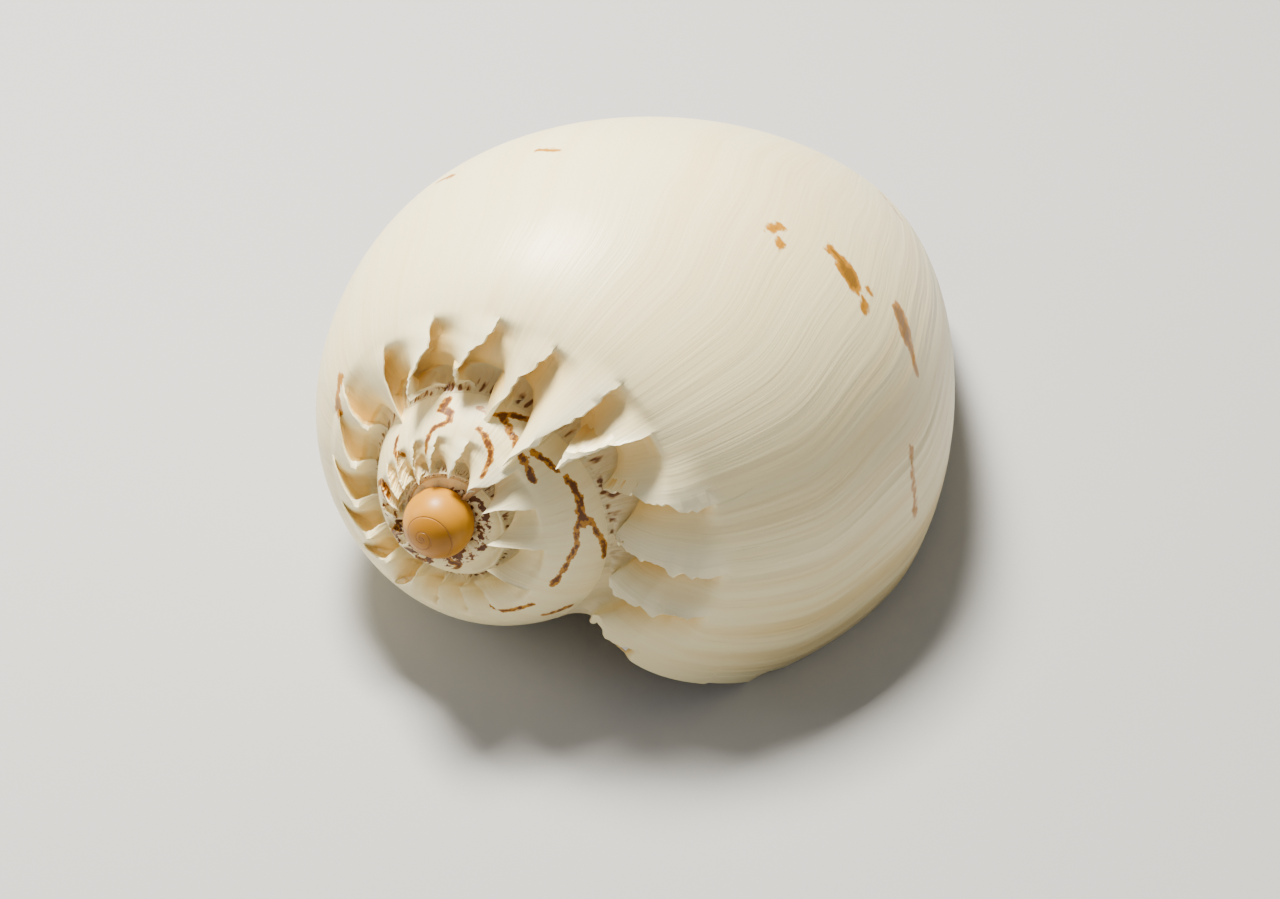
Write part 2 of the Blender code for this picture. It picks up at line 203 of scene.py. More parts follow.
@dataclass
class GrowthLine:
    """The curve that every growth line repeats, as (radius, height) in millimetres."""

    suture: Pair = (52.0, -39.3)
    channel_bend: tuple[Pair, Pair] = ((54.5, -46.0), (60.0, -47.0))
    crest: Pair = (63.1, -41.1)
    shoulder_rise: float = 27.0
    shoulder_pull: float = 35.4
    bulge: Pair = (130.3, -144.3)
    bulge_pull: Pair = (50.4, 64.3)  # the curve's handles above and below the bulge
    base_bend: Pair = (64.4, -311.6)
    base_aim: Pair = (35.9, -320.1)
    base_gap: float = 3.0  # the base ends this far above the first point of the front
    seat_depth: float = 1.2
    seat_way: Pair = (0.9, 0.44)
    # The front end: radius, height and the degrees that it sweeps back.
    front: tuple[Triple, ...] = (
        (69.0, -290.0, 0.0), (55.0, -284.0, 22.0), (45.0, -275.0, 50.0), (34.0, -270.0, 78.0),
        (27.5, -270.0, 108.0), (25.0, -273.0, 140.0), (23.5, -279.0, 170.0), (21.0, -286.0, 200.0),
        (17.5, -292.0, 228.0), (12.0, -296.0, 250.0), (7.0, -288.0, 262.0),
    )
    # Rows of points, and the arcs between which they are set.
    channel_rows: int = 10
    crest_rows: int = 40
    crest_reach: float = 46.0
    crest_crowding: float = 1.2
    shoulder_rows: int = 14
    shoulder_arc: Pair = (49.0, 90.0)
    body_rows: int = 34
    body_from: float = 96.0
    front_rows: int = 28
    curve_steps: int = 120
    # Degrees by which the lip leads or trails along its arc.
    trims: tuple[tuple[float, Pair], ...] = (
        (-5.5, (70.0, 125.0)), (-5.5, (115.0, 190.0)), (2.0, (245.0, 300.0)),
    )
    lead: float = 15.0
    lead_from: float = -14.0
    lead_fade: float = 18.0
    lead_end: float = 45.0
    lead_growth: Pair = (-13.0, 0.0)
    # The wall: half of its thickness grows with the shell.
    wall: float = 3.4
    growing: float = 0.5
    lip_thinning: float = 0.45
    lip_growth: Pair = (-12.0, 0.0)
    crown_backing: float = 8.5
    backing_in: Pair = (-14.0, -5.0)
    backing_out: Pair = (30.0, 60.0)
    backing_growth: Pair = (0.0, -10.0)
    lumen_heart: Pair = (95.0, -150.0)
    squared_sweep: Pair = (-5.0, 60.0)
    least_square: float = 0.6
    callus: float = 0.6
    callus_sweep: Pair = (120.0, 200.0)
    # The first whorls lie sunken round the protoconch.
    moat: float = 8.0
    moat_growth: Pair = (-620.0, -740.0)
    moat_arc: Pair = (45.0, 84.0)
    spiral: Spiral = field(default_factory=Spiral)

    def __post_init__(self) -> None:
        """Work out the rows once: their points, arcs, sweep back and way to the lumen."""
        channel = bezier((self.suture, *self.channel_bend, self.crest), self.channel_rows)
        seat = [at - way * self.seat_depth for at, way in zip(self.suture, self.seat_way)]
        end = smooth_run(self.front, self.front_rows)
        kept = self._shoulder_to_base()
        self.points = np.concatenate([[seat, self.suture], channel, kept, end[:, :2]])
        self.crest_row = 1 + len(channel)
        arc = run_along(self.points)
        self.arc = arc - arc[self.crest_row]
        self.swept = np.concatenate([np.zeros(len(self.points) - self.front_rows), end[:, 2]])
        self.trim = sum(degrees * smoothstep(*arcs, self.arc) for degrees, arcs in self.trims)
        beyond = np.maximum(self.arc - self.lead_from, 0.0)
        self.lip_lead = self.lead * np.exp(-beyond / self.lead_fade) * (self.arc < self.lead_end)
        self.inward = self._way_in()

    def _shoulder_to_base(self) -> np.ndarray:
        """The rows from below the crest to the end of the base.

        Returns:
            Radius and height of each row.
        """
        (crest_x, crest_y), (bulge_x, bulge_y) = self.crest, self.bulge
        slope = math.radians(self.shoulder_rise)
        pull = self.shoulder_pull
        lead = (crest_x + pull * math.cos(slope), crest_y + pull * math.sin(slope))
        high, low = (bulge_x, bulge_y + self.bulge_pull[0]), (bulge_x, bulge_y - self.bulge_pull[1])
        shoulder = bezier((self.crest, lead, high, self.bulge), self.curve_steps)
        base = bezier((self.bulge, low, self.base_bend, self.base_aim), self.curve_steps)
        body = np.concatenate([[self.crest], shoulder, base[base[:, 1] > self.front[0][1] + self.base_gap]])
        run = run_along(body)
        crowded = np.linspace(0.0, 1.0, self.crest_rows + 1)[1:] ** self.crest_crowding
        rows = np.concatenate([self.crest_reach * crowded,
                               np.linspace(*self.shoulder_arc, self.shoulder_rows),
                               np.linspace(self.body_from, run[-1], self.body_rows)])
        return np.stack([np.interp(rows, run, body[:, 0]), np.interp(rows, run, body[:, 1])], 1)

    def _way_in(self) -> np.ndarray:
        """The way in from each outer point, for a wall one millimetre thick.

        Returns:
            Radius and height of each step.
        """
        abreast = self.points * np.exp(self.spiral.rate * np.radians(self.swept))[:, None]
        tangent = np.gradient(abreast, axis=0)
        inward = unit(np.stack([tangent[:, 1], -tangent[:, 0]], 1))
        toward = unit(np.array(self.lumen_heart) - self.points)
        toward = unit(toward + smoothstep(*self.squared_sweep, self.swept)[:, None] * (inward - toward))
        square = np.clip((inward * toward).sum(1), self.least_square, 1.0)
        callus = 1.0 + self.callus * smoothstep(*self.callus_sweep, self.swept)
        return toward * (callus / square)[:, None]

    def wall_at(self, growth: float) -> np.ndarray:
        """The wall's thickness in each row.

        Args:
            growth: The growth angle in degrees.

        Returns:
            Thicknesses in millimetres at the lip.
        """
        size = float(self.spiral.size(growth))
        thinning = 1.0 - self.lip_thinning * float(smoothstep(*self.lip_growth, growth))
        under_crown = smoothstep(*self.backing_in, self.arc) * (1.0 - smoothstep(*self.backing_out, self.arc))
        backing = self.crown_backing * under_crown * float(smoothstep(*self.backing_growth, growth))
        return self.wall * (1.0 - self.growing + self.growing * size) * thinning / size + backing

    def place(self, points: np.ndarray, growth: np.ndarray) -> np.ndarray:
        """World points of a growth line.

        Args:
            points: Radius and height of each row in millimetres at the lip.
            growth: Growth angle of each row in degrees.

        Returns:
            Points in metres.
        """
        count = len(points)
        lead = self.lip_lead[:count] * smoothstep(*self.lead_growth, growth)
        turn = growth + self.trim[:count] + lead
        size = self.spiral.size(turn)
        angle = -np.radians(self.spiral.lip_drop + turn - self.swept[:count])
        beside_dome = 1.0 - smoothstep(*self.moat_arc, self.arc[:count])
        moat = self.moat * smoothstep(*self.moat_growth, growth) * beside_dome
        return self.spiral.to_world(points[:, 0] * size, points[:, 1] * size - moat, angle)


# ---------------------------------------------------------------- the crown

@dataclass(frozen=True)
class Band:
    """A band of rows along the skirt of a spine.

    It starts at the arc low and is full from the arc full. It begins to fade at one
    share of the skirt's length and has ended at another.
    """

    low: float
    full: float
    fade: float
    end: float

    def over(self, arc: np.ndarray, skirt: float) -> np.ndarray:
        """How strong the band is at each arc, from 0 to 1, on a skirt of this length."""
        faded = smoothstep(self.fade * skirt, self.end * skirt, arc)
        return smoothstep(self.low, self.full, arc) * (1.0 - faded)


@dataclass(frozen=True)
class Spine:
    """One torn scoop of the crown; lengths are millimetres at the lip.

    Its edge is torn over the skirt, from the crest outwards. The tip, as wide as point,
    lags some degrees behind the rest of the edge, and the outer end of the edge leads.
    Broad is 0 for a sharp horn and 1 for a tongue that stands out over its whole growth.
    A greater width makes its sides rise sooner. Ragged is how torn the edge is, and peel
    how far it stands off. Hollow is the depth of the scoop on its lip side, and tan how
    stained that is and how dark the shade painted in the crevice under its edge is.
    """

    growth: float
    reach: float
    height: float
    width: float = 1.0
    lag: float = 3.0
    broad: float = 0.3
    ragged: float = 0.4
    tan: float = 1.0
    hollow: float = 4.0
    peel: float = 1.0
    skirt: float = 30.0
    point: float = 13.0
    lead: float = 0.0


# What the spines of a kind have in common. Those listed below say where they differ.
TONGUE = Spine(0, 7, 0, width=1.2, broad=1.0, tan=0.95, hollow=9.0, peel=4.0, skirt=33.0)
HORN = Spine(0, 0, 0, ragged=1.1, tan=0.7, hollow=5.0, peel=2.0, skirt=27.0, point=12.0)
SIDE_SCOOP = Spine(0, 2, 13, lag=-1.5, tan=0.5, hollow=2.2, peel=2.6, skirt=19.0)
REAR_SCOOP = Spine(0, 9, 16, lag=5.0, ragged=0.9, hollow=7.0, peel=4.0, skirt=24.0)
SPIRE_TONGUE = Spine(0, 11, 11, width=1.1, broad=0.8, tan=0.2, hollow=8.0, peel=4.0, skirt=24.0)
SPIRE_TOOTH = Spine(0, 12, 15, lag=3.5, broad=0.4, ragged=1.4, tan=0.2, hollow=7.0, peel=3.0)

LISTED_SPINES = (
    Spine(16, 5, 5, lag=0.0),
    Spine(-1.5, 6, 5, width=0.5, lag=0.0, broad=0.1, ragged=1.6, hollow=3.0, peel=1.5, skirt=14.0),
    Spine(-15, 7, 3, width=1.2, lag=-2.0, broad=0.9, ragged=1.5, tan=0.8, hollow=6.0, peel=3.0, lead=-3.0),
    replace(TONGUE, growth=-31, height=-1, lag=0.0, ragged=1.4, lead=1.5),
    replace(TONGUE, growth=-52, ragged=1.3, point=15.0, lead=4.5),
    replace(HORN, growth=-65, reach=6, height=21, lag=12.0, broad=0.9, tan=0.6, hollow=8.0, peel=3.0,
            skirt=23.0, lead=-4.0),
    replace(HORN, growth=-86, reach=25, height=24, width=1.3, lag=2.5, broad=0.8, ragged=1.4, tan=0.6,
            hollow=5.5, peel=2.4, point=6.0, lead=1.5),
    replace(HORN, growth=-102, reach=33, height=13, width=0.7, lag=11.5, broad=0.2, ragged=1.5,
            skirt=24.0, point=11.0, lead=-1.5),
    replace(HORN, growth=-124, reach=3, height=8, width=1.2, lag=8.5, broad=0.6, peel=2.2, lead=2.5),
    replace(HORN, growth=-141.5, reach=5, height=18, width=1.1, lag=11.0, broad=0.6, ragged=1.2,
            hollow=4.5, point=8.5, lead=-1.0),
    replace(HORN, growth=-160.5, reach=37, height=10, lag=8.5, broad=0.5, ragged=0.6, hollow=4.5,
            peel=1.4, skirt=21.0, point=15.0),
    Spine(-186, 2, 5, width=1.1, lag=4.5, tan=0.6, hollow=3.0, peel=2.0, skirt=24.0, point=15.0),
    replace(SIDE_SCOOP, growth=-209.5, height=10, lag=0.0, skirt=20.0, lead=15.0),
    replace(SIDE_SCOOP, growth=-231, lead=16.0),
    replace(SIDE_SCOOP, growth=-249, height=15, lead=14.0),
    replace(SIDE_SCOOP, growth=-265, reach=3, height=15, lag=0.0, hollow=3.0, skirt=20.0, lead=10.0),
    replace(REAR_SCOOP, growth=-282, reach=6, height=14, lag=3.0, tan=0.5, ragged=0.6, hollow=6.0,
            peel=3.5, lead=6.0),
    replace(REAR_SCOOP, growth=-300, reach=8, height=15, tan=0.4),
    replace(REAR_SCOOP, growth=-319, tan=0.3),
    replace(REAR_SCOOP, growth=-336, reach=11, tan=0.2),
    replace(SPIRE_TONGUE, growth=-353, reach=12, height=20, lag=10.0, hollow=7.0, peel=3.5, lead=-8.0),
    replace(SPIRE_TONGUE, growth=-382.5, reach=15, height=24, lag=12.0, point=15.0, lead=-7.0),
    replace(SPIRE_TONGUE, growth=-417.5, reach=14, height=18, lag=8.5, point=16.0, lead=1.5),
    replace(SPIRE_TONGUE, growth=-445, reach=13, height=15, lag=9.0, hollow=7.0, peel=3.5, skirt=32.0,
            point=6.0, lead=2.5),
    *(Spine(growth, reach, 11, broad=0.8, ragged=1.2, tan=0.2, hollow=6.0, peel=3.0)
      for growth, reach in ((-475, 11), (-497, 10))),
)


@dataclass
class Crown:
    """The spines along the shoulder, and the surface that they make of it."""

    line: GrowthLine
    listed: tuple[Spine, ...] = LISTED_SPINES
    # The teeth of the oldest whorls, which follow those listed at a wavering step.
    older: Spine = SPIRE_TOOTH
    step: float = 18.5
    step_wobble: Pair = (0.2, 0.7)  # its share and its pace
    tooth_wobble: Pair = (0.3, 1.3)
    fade_in: Pair = (-800.0, -620.0)
    oldest: float = -1035.0
    # How a flare falls away from the crest: powers of its way and of what is left.
    channel: float = 11.0
    down_slope: Pair = (1.3, 2.3)
    channel_slope: Pair = (1.25, 1.7)
    skirt_stretch: float = 1.2
    # How it rises from one spine to the next, in shares of that growth.
    rise_end: float = 0.70
    rise_end_tip: Pair = (0.20, 0.10)  # later at the tip, for every spine and for a broad one
    rise_start: float = 0.55
    wide_start: float = 0.45
    broad_start: float = 0.70
    least_rise: float = 0.15
    tip_fall: float = 0.30
    tip_fall_share: Pair = (0.88, 1.0)
    # The torn edge.
    jag: float = 1.1
    jag_pace: float = 0.55
    jag_band: Band = Band(-12.0, -4.0, 0.75, 1.05)
    tip_arc: float = 3.0
    lead_fade: Pair = (30.0, 75.0)
    root_rows: tuple[int, int] = (10, 22)
    lean: float = 1.5
    beside_share: Pair = (0.4, 0.8)
    scoop_depth: float = 4.0
    scoop_wall: float = 1.3
    scoop_round: float = 0.96
    scoop_round_lead: float = 0.10
    torn_full: float = 4.0
    whole_step: float = 0.14
    # Steps down into the hollow under it: share of the way, growth in scoop depths and tan, where tan above 1
    # is shade painted into the crevice.
    undercut: tuple[Triple, ...] = (
        (0.0, 0.0, 0.0), (0.25, -0.45, 0.9), (0.55, -0.70, 1.9), (0.85, -0.55, 1.9),
    )
    # The plate that grows from one edge to the next.
    dip_band: Band = Band(-11.0, -3.0, 0.6, 1.08)
    dip_fade: float = 0.42
    dip_power: float = 1.25
    peel_band: Band = Band(-13.5, -7.0, 0.75, 1.1)
    peel_start: Pair = (0.45, 0.25)  # for a horn, and how much sooner for a broad plate
    column_step: float = 2.0
    first_share: float = 0.06
    crowding: float = 0.9
    least_columns: int = 5
    coarser: Pair = (-560.0, -760.0)
    # How tan its rows are, and where shade and light are painted: above 1 in the crevice under a torn edge is
    # painted shade, and less than 0 on a raised plate is painted light.
    stain_band: Band = Band(-3.5, -1.0, 0.78, 1.02)
    stain_fall: float = 0.4
    stain_fall_arc: Pair = (6.0, 26.0)
    stain_share: Pair = (0.35, 0.80)
    stain_slope: float = 0.012
    # Painted shade: how much darker the crevice just under a torn edge is painted, and over what share of the
    # plate that fades.
    crevice_shade: float = 0.7
    crevice_shade_share: float = 0.08
    # Painted light: where a raised plate is painted lighter towards its own torn edge.
    painted_light_band: Band = Band(-9.0, -2.0, 0.8, 1.3)
    painted_light_share: Pair = (0.50, 0.95)
    same_growth: float = 0.01

    def __post_init__(self) -> None:
        """List all spines from the oldest."""
        spines = list(self.listed)
        growth = spines[-1].growth - self.step
        while growth > self.oldest - 2.0 * self.step:
            fade = float(smoothstep(*self.fade_in, growth))
            wobble = 1.0 + self.tooth_wobble[0] * math.sin(growth * self.tooth_wobble[1])
            spines.append(replace(self.older, growth=growth, reach=self.older.reach * fade * wobble,
                                  height=self.older.height * fade / wobble,
                                  lag=self.older.lag * fade, hollow=self.older.hollow * fade))
            growth -= self.step * (1.0 + self.step_wobble[0] * math.sin(growth * self.step_wobble[1]))
        self.spines = spines[::-1]

    def flare(self, spine: Spine) -> np.ndarray:
        """The share of a spine's reach that each row takes up.

        Args:
            spine: The spine.

        Returns:
            Shares from 0 to 1, with 1 at the crest.
        """
        arc = self.line.arc
        (down, down_fall), (across, across_fall) = self.down_slope, self.channel_slope
        outward = np.clip(arc / (self.skirt_stretch * spine.skirt), 0.0, 1.0) ** down
        inward = np.clip(-arc / self.channel, 0.0, 1.0) ** across
        return np.where(arc > 0.0, (1.0 - outward) ** down_fall, (1.0 - inward) ** across_fall)

    def full(self, spine: Spine) -> np.ndarray:
        """How far a whole spine carries each row of the growth line."""
        flare = self.flare(spine)
        return np.stack([-spine.reach * flare * np.sqrt(flare), spine.height * flare], 1)

    def peeled(self, spine: Spine) -> np.ndarray:
        """How far the edge of a plate stands off the shell beneath it."""
        lifted = self.peel_band.over(self.line.arc, spine.skirt)
        return -self.line.inward * (spine.peel * lifted)[:, None]

    def rise(self, spine: Spine, share: float) -> np.ndarray:
        """How far a spine has risen, row by row.

        Args:
            spine: The spine.
            share: The share of its growth that is done.

        Returns:
            A share of its full height for each row.
        """
        flare = self.flare(spine)
        high = self.rise_end + (self.rise_end_tip[0] + self.rise_end_tip[1] * spine.broad) * flare
        low = self.rise_start - self.wide_start * spine.width * (1.0 - flare)
        low = low - self.broad_start * spine.broad * flare
        low = np.minimum(low, high - self.least_rise)
        point = 1.0 - self.tip_fall * flare ** 3 * smoothstep(*self.tip_fall_share, share)
        return smoothstep(low, high, share) * point

    def edge(self, spine: Spine) -> np.ndarray:
        """Where the torn edge of a spine lies.

        Args:
            spine: The spine.

        Returns:
            Degrees by which each row of the edge lies ahead of the spine.
        """
        arc = self.line.arc
        jagged = self.jag * spine.ragged * ripple(arc * self.jag_pace, spine.growth)
        jagged = jagged * self.jag_band.over(arc, spine.skirt)
        outer = spine.lead * smoothstep(self.tip_arc, spine.skirt, arc)
        outer = outer * (1.0 - smoothstep(*self.lead_fade, arc))
        return jagged + outer - spine.lag * np.exp(-(((arc - self.tip_arc) / spine.point) ** 2))

    def torn(self, spine: Spine, points: np.ndarray, full: np.ndarray, depth: float) -> np.ndarray:
        """The inner side of a torn edge: each point moved into the flare, or into the wall beside it.

        Args:
            spine: The spine whose edge it is.
            points: The outer side of the edge.
            full: How far the spine carries each row.
            depth: The thickness of the edge in millimetres.

        Returns:
            The moved points.
        """
        row = self.line.crest_row
        before, after = self.root_rows
        tip = points[row]
        root = 0.5 * (points[row - before] + points[row + after])
        along = (root - tip) / np.linalg.norm(root - tip)
        middle = tip + np.clip((points - tip) @ along, 0.0, None)[:, None] * along
        inward = unit(middle - points + self.lean * along)
        start, end = self.beside_share
        beside = smoothstep(start * spine.skirt, end * spine.skirt, self.line.arc)[:, None]
        inward += beside * (unit(self.line.inward) - inward)
        reach = np.minimum(depth, 0.5 * np.hypot(*full.T))[:, None]
        return points + inward * reach

    def _hollow(self, spine: Spine) -> np.ndarray:
        """How deep the hollow in front of a spine is in each row."""
        return spine.hollow * self.dip_band.over(self.line.arc, spine.skirt)

    def _stain_and_shade(self, spine: Spine) -> np.ndarray:
        """How strongly the hollow in front of a spine is stained in each row; it also scales the shade
        painted in the crevice under the edge.
        """
        fall = self.stain_fall * smoothstep(*self.stain_fall_arc, self.line.arc)
        return self.stain_band.over(self.line.arc, spine.skirt) * (1.0 - fall)

    def _torn_edge(self, spine: Spine) -> list[Column]:
        """The growth lines round a torn edge and down into the hollow under it.

        Args:
            spine: The spine whose edge it is.

        Returns:
            For each line its points, the growth of each row and how tan each row is, above 1 where shade is
            painted into the crevice.
        """
        base = self.line.points
        was = self.full(spine) * self.rise(spine, 1.0)[:, None] + self.peeled(spine)
        off = np.clip(np.hypot(*was.T) / self.torn_full, 0.0, 1.0)
        inner = self.torn(spine, base + was, was, self.scoop_wall)
        floor = base + self.line.inward * self._hollow(spine)[:, None]
        rounded = self.torn(spine, base + was * self.scoop_round, was, 0.5 * self.scoop_wall)
        steps = [(rounded, self.scoop_round_lead, 0.0)]
        steps += [(inner + share * (floor - inner), back, tan) for share, back, tan in self.undercut]
        edge, stain_and_shade = spine.growth + self.edge(spine), self._stain_and_shade(spine)
        lines = []
        for number, (points, back, tan) in enumerate(steps, 1):
            shift = off * back * self.scoop_depth + (1.0 - off) * self.whole_step * number
            blend = base + off[:, None] * (points - base)
            lines.append((blend, edge + shift, tan * spine.tan * off * stain_and_shade))
        return lines

    def _plate(self, older: Spine, newer: Spine) -> Iterator[tuple[float, Column]]:
        """The growth lines of the plate between two spines.

        Args:
            older: The spine that the plate starts under.
            newer: The spine that it ends in.

        Yields:
            A growth angle, and its line as points, the growth of each row and how tan each row is, above 1
            where shade is painted into the crevice and below 0 where light is painted on the plate.
        """
        line, span = self.line, newer.growth - older.growth
        full, peel, hollow = self.full(newer), self.peeled(newer), self._hollow(older)
        edge, old_edge = self.edge(newer), self.edge(older)
        stain_and_shade, painted_light = older.tan * self._stain_and_shade(older), self.painted_light_band.over(line.arc, newer.skirt)
        coarser = 1.0 + float(smoothstep(*self.coarser, older.growth))
        count = max(int(span / (self.column_step * coarser)), self.least_columns)
        first = self.first_share
        for share in first + (1.0 - first) * np.linspace(0.0, 1.0, count) ** self.crowding:
            grown = older.growth + share * span + edge * share ** 4 + old_edge * (1.0 - share) ** 4
            dip = ((1.0 - newer.broad) * math.exp(-((share / self.dip_fade) ** 2))
                   + newer.broad * (1.0 - share ** self.dip_power))
            lift = float(smoothstep(self.peel_start[0] - self.peel_start[1] * newer.broad, 1.0, share))
            risen = full * self.rise(newer, share)[:, None] + peel * lift
            # Shade painted into the crevice under the older spine's torn edge.
            crevice_shade = 1.0 + self.crevice_shade * math.exp(-(share - first) / self.crevice_shade_share)
            stained = 1.0 - smoothstep(*self.stain_share, share + self.stain_slope * line.arc)
            # Light painted on the raised broad plate towards its torn edge.
            plate_painted_light = newer.broad * painted_light * float(smoothstep(*self.painted_light_share, share))
            points = line.points + risen + line.inward * (hollow * dip)[:, None]
            yield older.growth + share * span, (points, grown, stain_and_shade * crevice_shade * stained - plate_painted_light)

    def columns(self, start: float, end: float) -> list[Column]:
        """The outer growth lines from one growth angle to another.

        Args:
            start: Growth angle of the first line, which is a torn edge.
            end: Growth angle of the last line.

        Returns:
            For each line its points, the growth of each row and how tan each row is, above 1 where shade is
            painted and below 0 where light is painted.
        """
        lines = []
        for older, newer in zip(self.spines, self.spines[1:]):
            if newer.growth <= start or older.growth >= end:
                continue
            if older.growth >= start - self.same_growth:
                lines += self._torn_edge(older)
            for growth, column in self._plate(older, newer):
                if growth >= start - self.same_growth:
                    lines.append(column)
                if growth >= end - self.same_growth:
                    return lines
        return lines


@dataclass(frozen=True)
class Mark:
    """A brown streak drawn along growth (degrees) and arc (millimetres at the lip)."""

    points: tuple[Pair, ...]
    half_width: float


SPIRE_MARKS = (
    Mark(((-424, 63), (-416, 65), (-408, 62), (-404, 60)), 3.6),
    Mark(((-406, 60), (-399, 54), (-391, 52), (-386, 47), (-379, 43), (-370, 38)), 2.6),
    Mark(((-372, 39), (-369, 37)), 3.6),
    Mark(((-406, 61), (-400, 69), (-394, 73), (-388, 80), (-382, 81)), 2.6),
    Mark(((-408, 61), (-402, 60)), 4.4),
    Mark(((-470, 66), (-465, 72), (-460, 75), (-456, 79)), 3.0),
    Mark(((-467, 66), (-460, 57), (-455, 52), (-448, 44), (-442, 42), (-432, 36)), 3.4),
    Mark(((-444, 53), (-437, 57), (-431, 59)), 2.8),
    Mark(((-473, 45), (-466, 38), (-460, 30), (-454, 14)), 3.0),
    Mark(((-499, 75), (-500, 62), (-493, 56), (-492, 47), (-498, 42), (-503, 35), (-506, 17)), 3.2),
    Mark(((-499, 74), (-500, 62), (-495, 58)), 4.4),
    Mark(((-332, 18), (-338, 25), (-346, 30), (-351, 34)), 2.6),
    Mark(((-345, 57), (-349, 66), (-352, 73)), 3.0),
    Mark(((-480, 68), (-475, 64)), 2.4),
    Mark(((-530, 20), (-536, 34), (-532, 48)), 3.0),
    Mark(((-570, 16), (-563, 30), (-571, 44)), 3.4),
    Mark(((-604, 14), (-610, 30), (-602, 44)), 4.0),
    Mark(((-640, 12), (-648, 28), (-639, 46)), 4.5),
    Mark(((-676, 12), (-684, 30), (-675, 46)), 5.0),
)

BODY_MARKS = (
    Mark(((-70.5, 146), (-67, 146), (-64, 142.5)), 3.2),
    Mark(((-66.5, 144), (-64.5, 142.5)), 5.2),
    Mark(((-60.2, 149), (-59.6, 147)), 1.8),
    Mark(((-60.5, 140), (-59.8, 138)), 2.4),
    Mark(((-51.5, 159), (-48.5, 155.5)), 5.0),
    Mark(((-48.5, 155.5), (-43, 151)), 2.8),
    Mark(((-33.8, 130), (-27.8, 130), (-19.5, 132)), 1.5),
    Mark(((-82, 128), (-80.8, 134)), 2.2),
    Mark(((-79.4, 125.5), (-79, 124)), 2.0),
    Mark(((-130, 130), (-126, 129)), 1.8),
    Mark(((-154, 128), (-150, 125)), 1.8),
    Mark(((-186, 28), (-191, 24), (-194.5, 20)), 2.4),
    Mark(((-192.5, 21.5), (-195, 19.5)), 4.0),
    Mark(((-61.5, 276), (-54.5, 258)), 1.4),
)


def streak_depth(growth: np.ndarray, arc: np.ndarray, marks: tuple[Mark, ...],
                 degree: float = 1.6) -> np.ndarray:
    """How deep places lie inside the nearest of the streaks.

    Args:
        growth: Growth angles in degrees.
        arc: Distances along the growth line in millimetres at the lip.
        marks: The streaks.
        degree: Millimetres that one degree of growth counts for.

    Returns:
        Millimetres, above 0 inside a streak.
    """
    place = np.stack([np.asarray(growth) * degree, np.asarray(arc)], 1)
    depth = np.full(len(place), -20.0)
    for mark in marks:
        run = np.array(mark.points) * (degree, 1.0)
        for start, end in zip(run, run[1:]):
            way = end - start
            share = np.clip((place - start) @ way / (way @ way), 0.0, 1.0)
            far = np.linalg.norm(place - start - share[:, None] * way, axis=1)
            depth = np.maximum(depth, mark.half_width - far)
    return depth


# ---------------------------------------------------------------- the meshes

@dataclass(frozen=True)
class Ring:
    """One closed loop of points: first the outer side, then the way back inside."""

    points: np.ndarray
    growth: np.ndarray
    arc: np.ndarray
    # How tan each point is. Above 0.85 it also paints shade into a crevice, and below 0 it paints light on a
    # raised plate.
    tan: np.ndarray

    @classmethod
    def of(cls, *sides: tuple[np.ndarray, ...]) -> "Ring":
        """A ring of sides laid end to end, each given as points, growth, arc and tan."""
        return cls(*(np.concatenate(values) for values in zip(*sides)))

    @property
    def uv(self) -> np.ndarray:
        """Growth in turns from three turns back, and arc in decimetres at the lip."""
        return np.stack([self.growth / 360.0 + 3.0, self.arc / 100.0], 1)


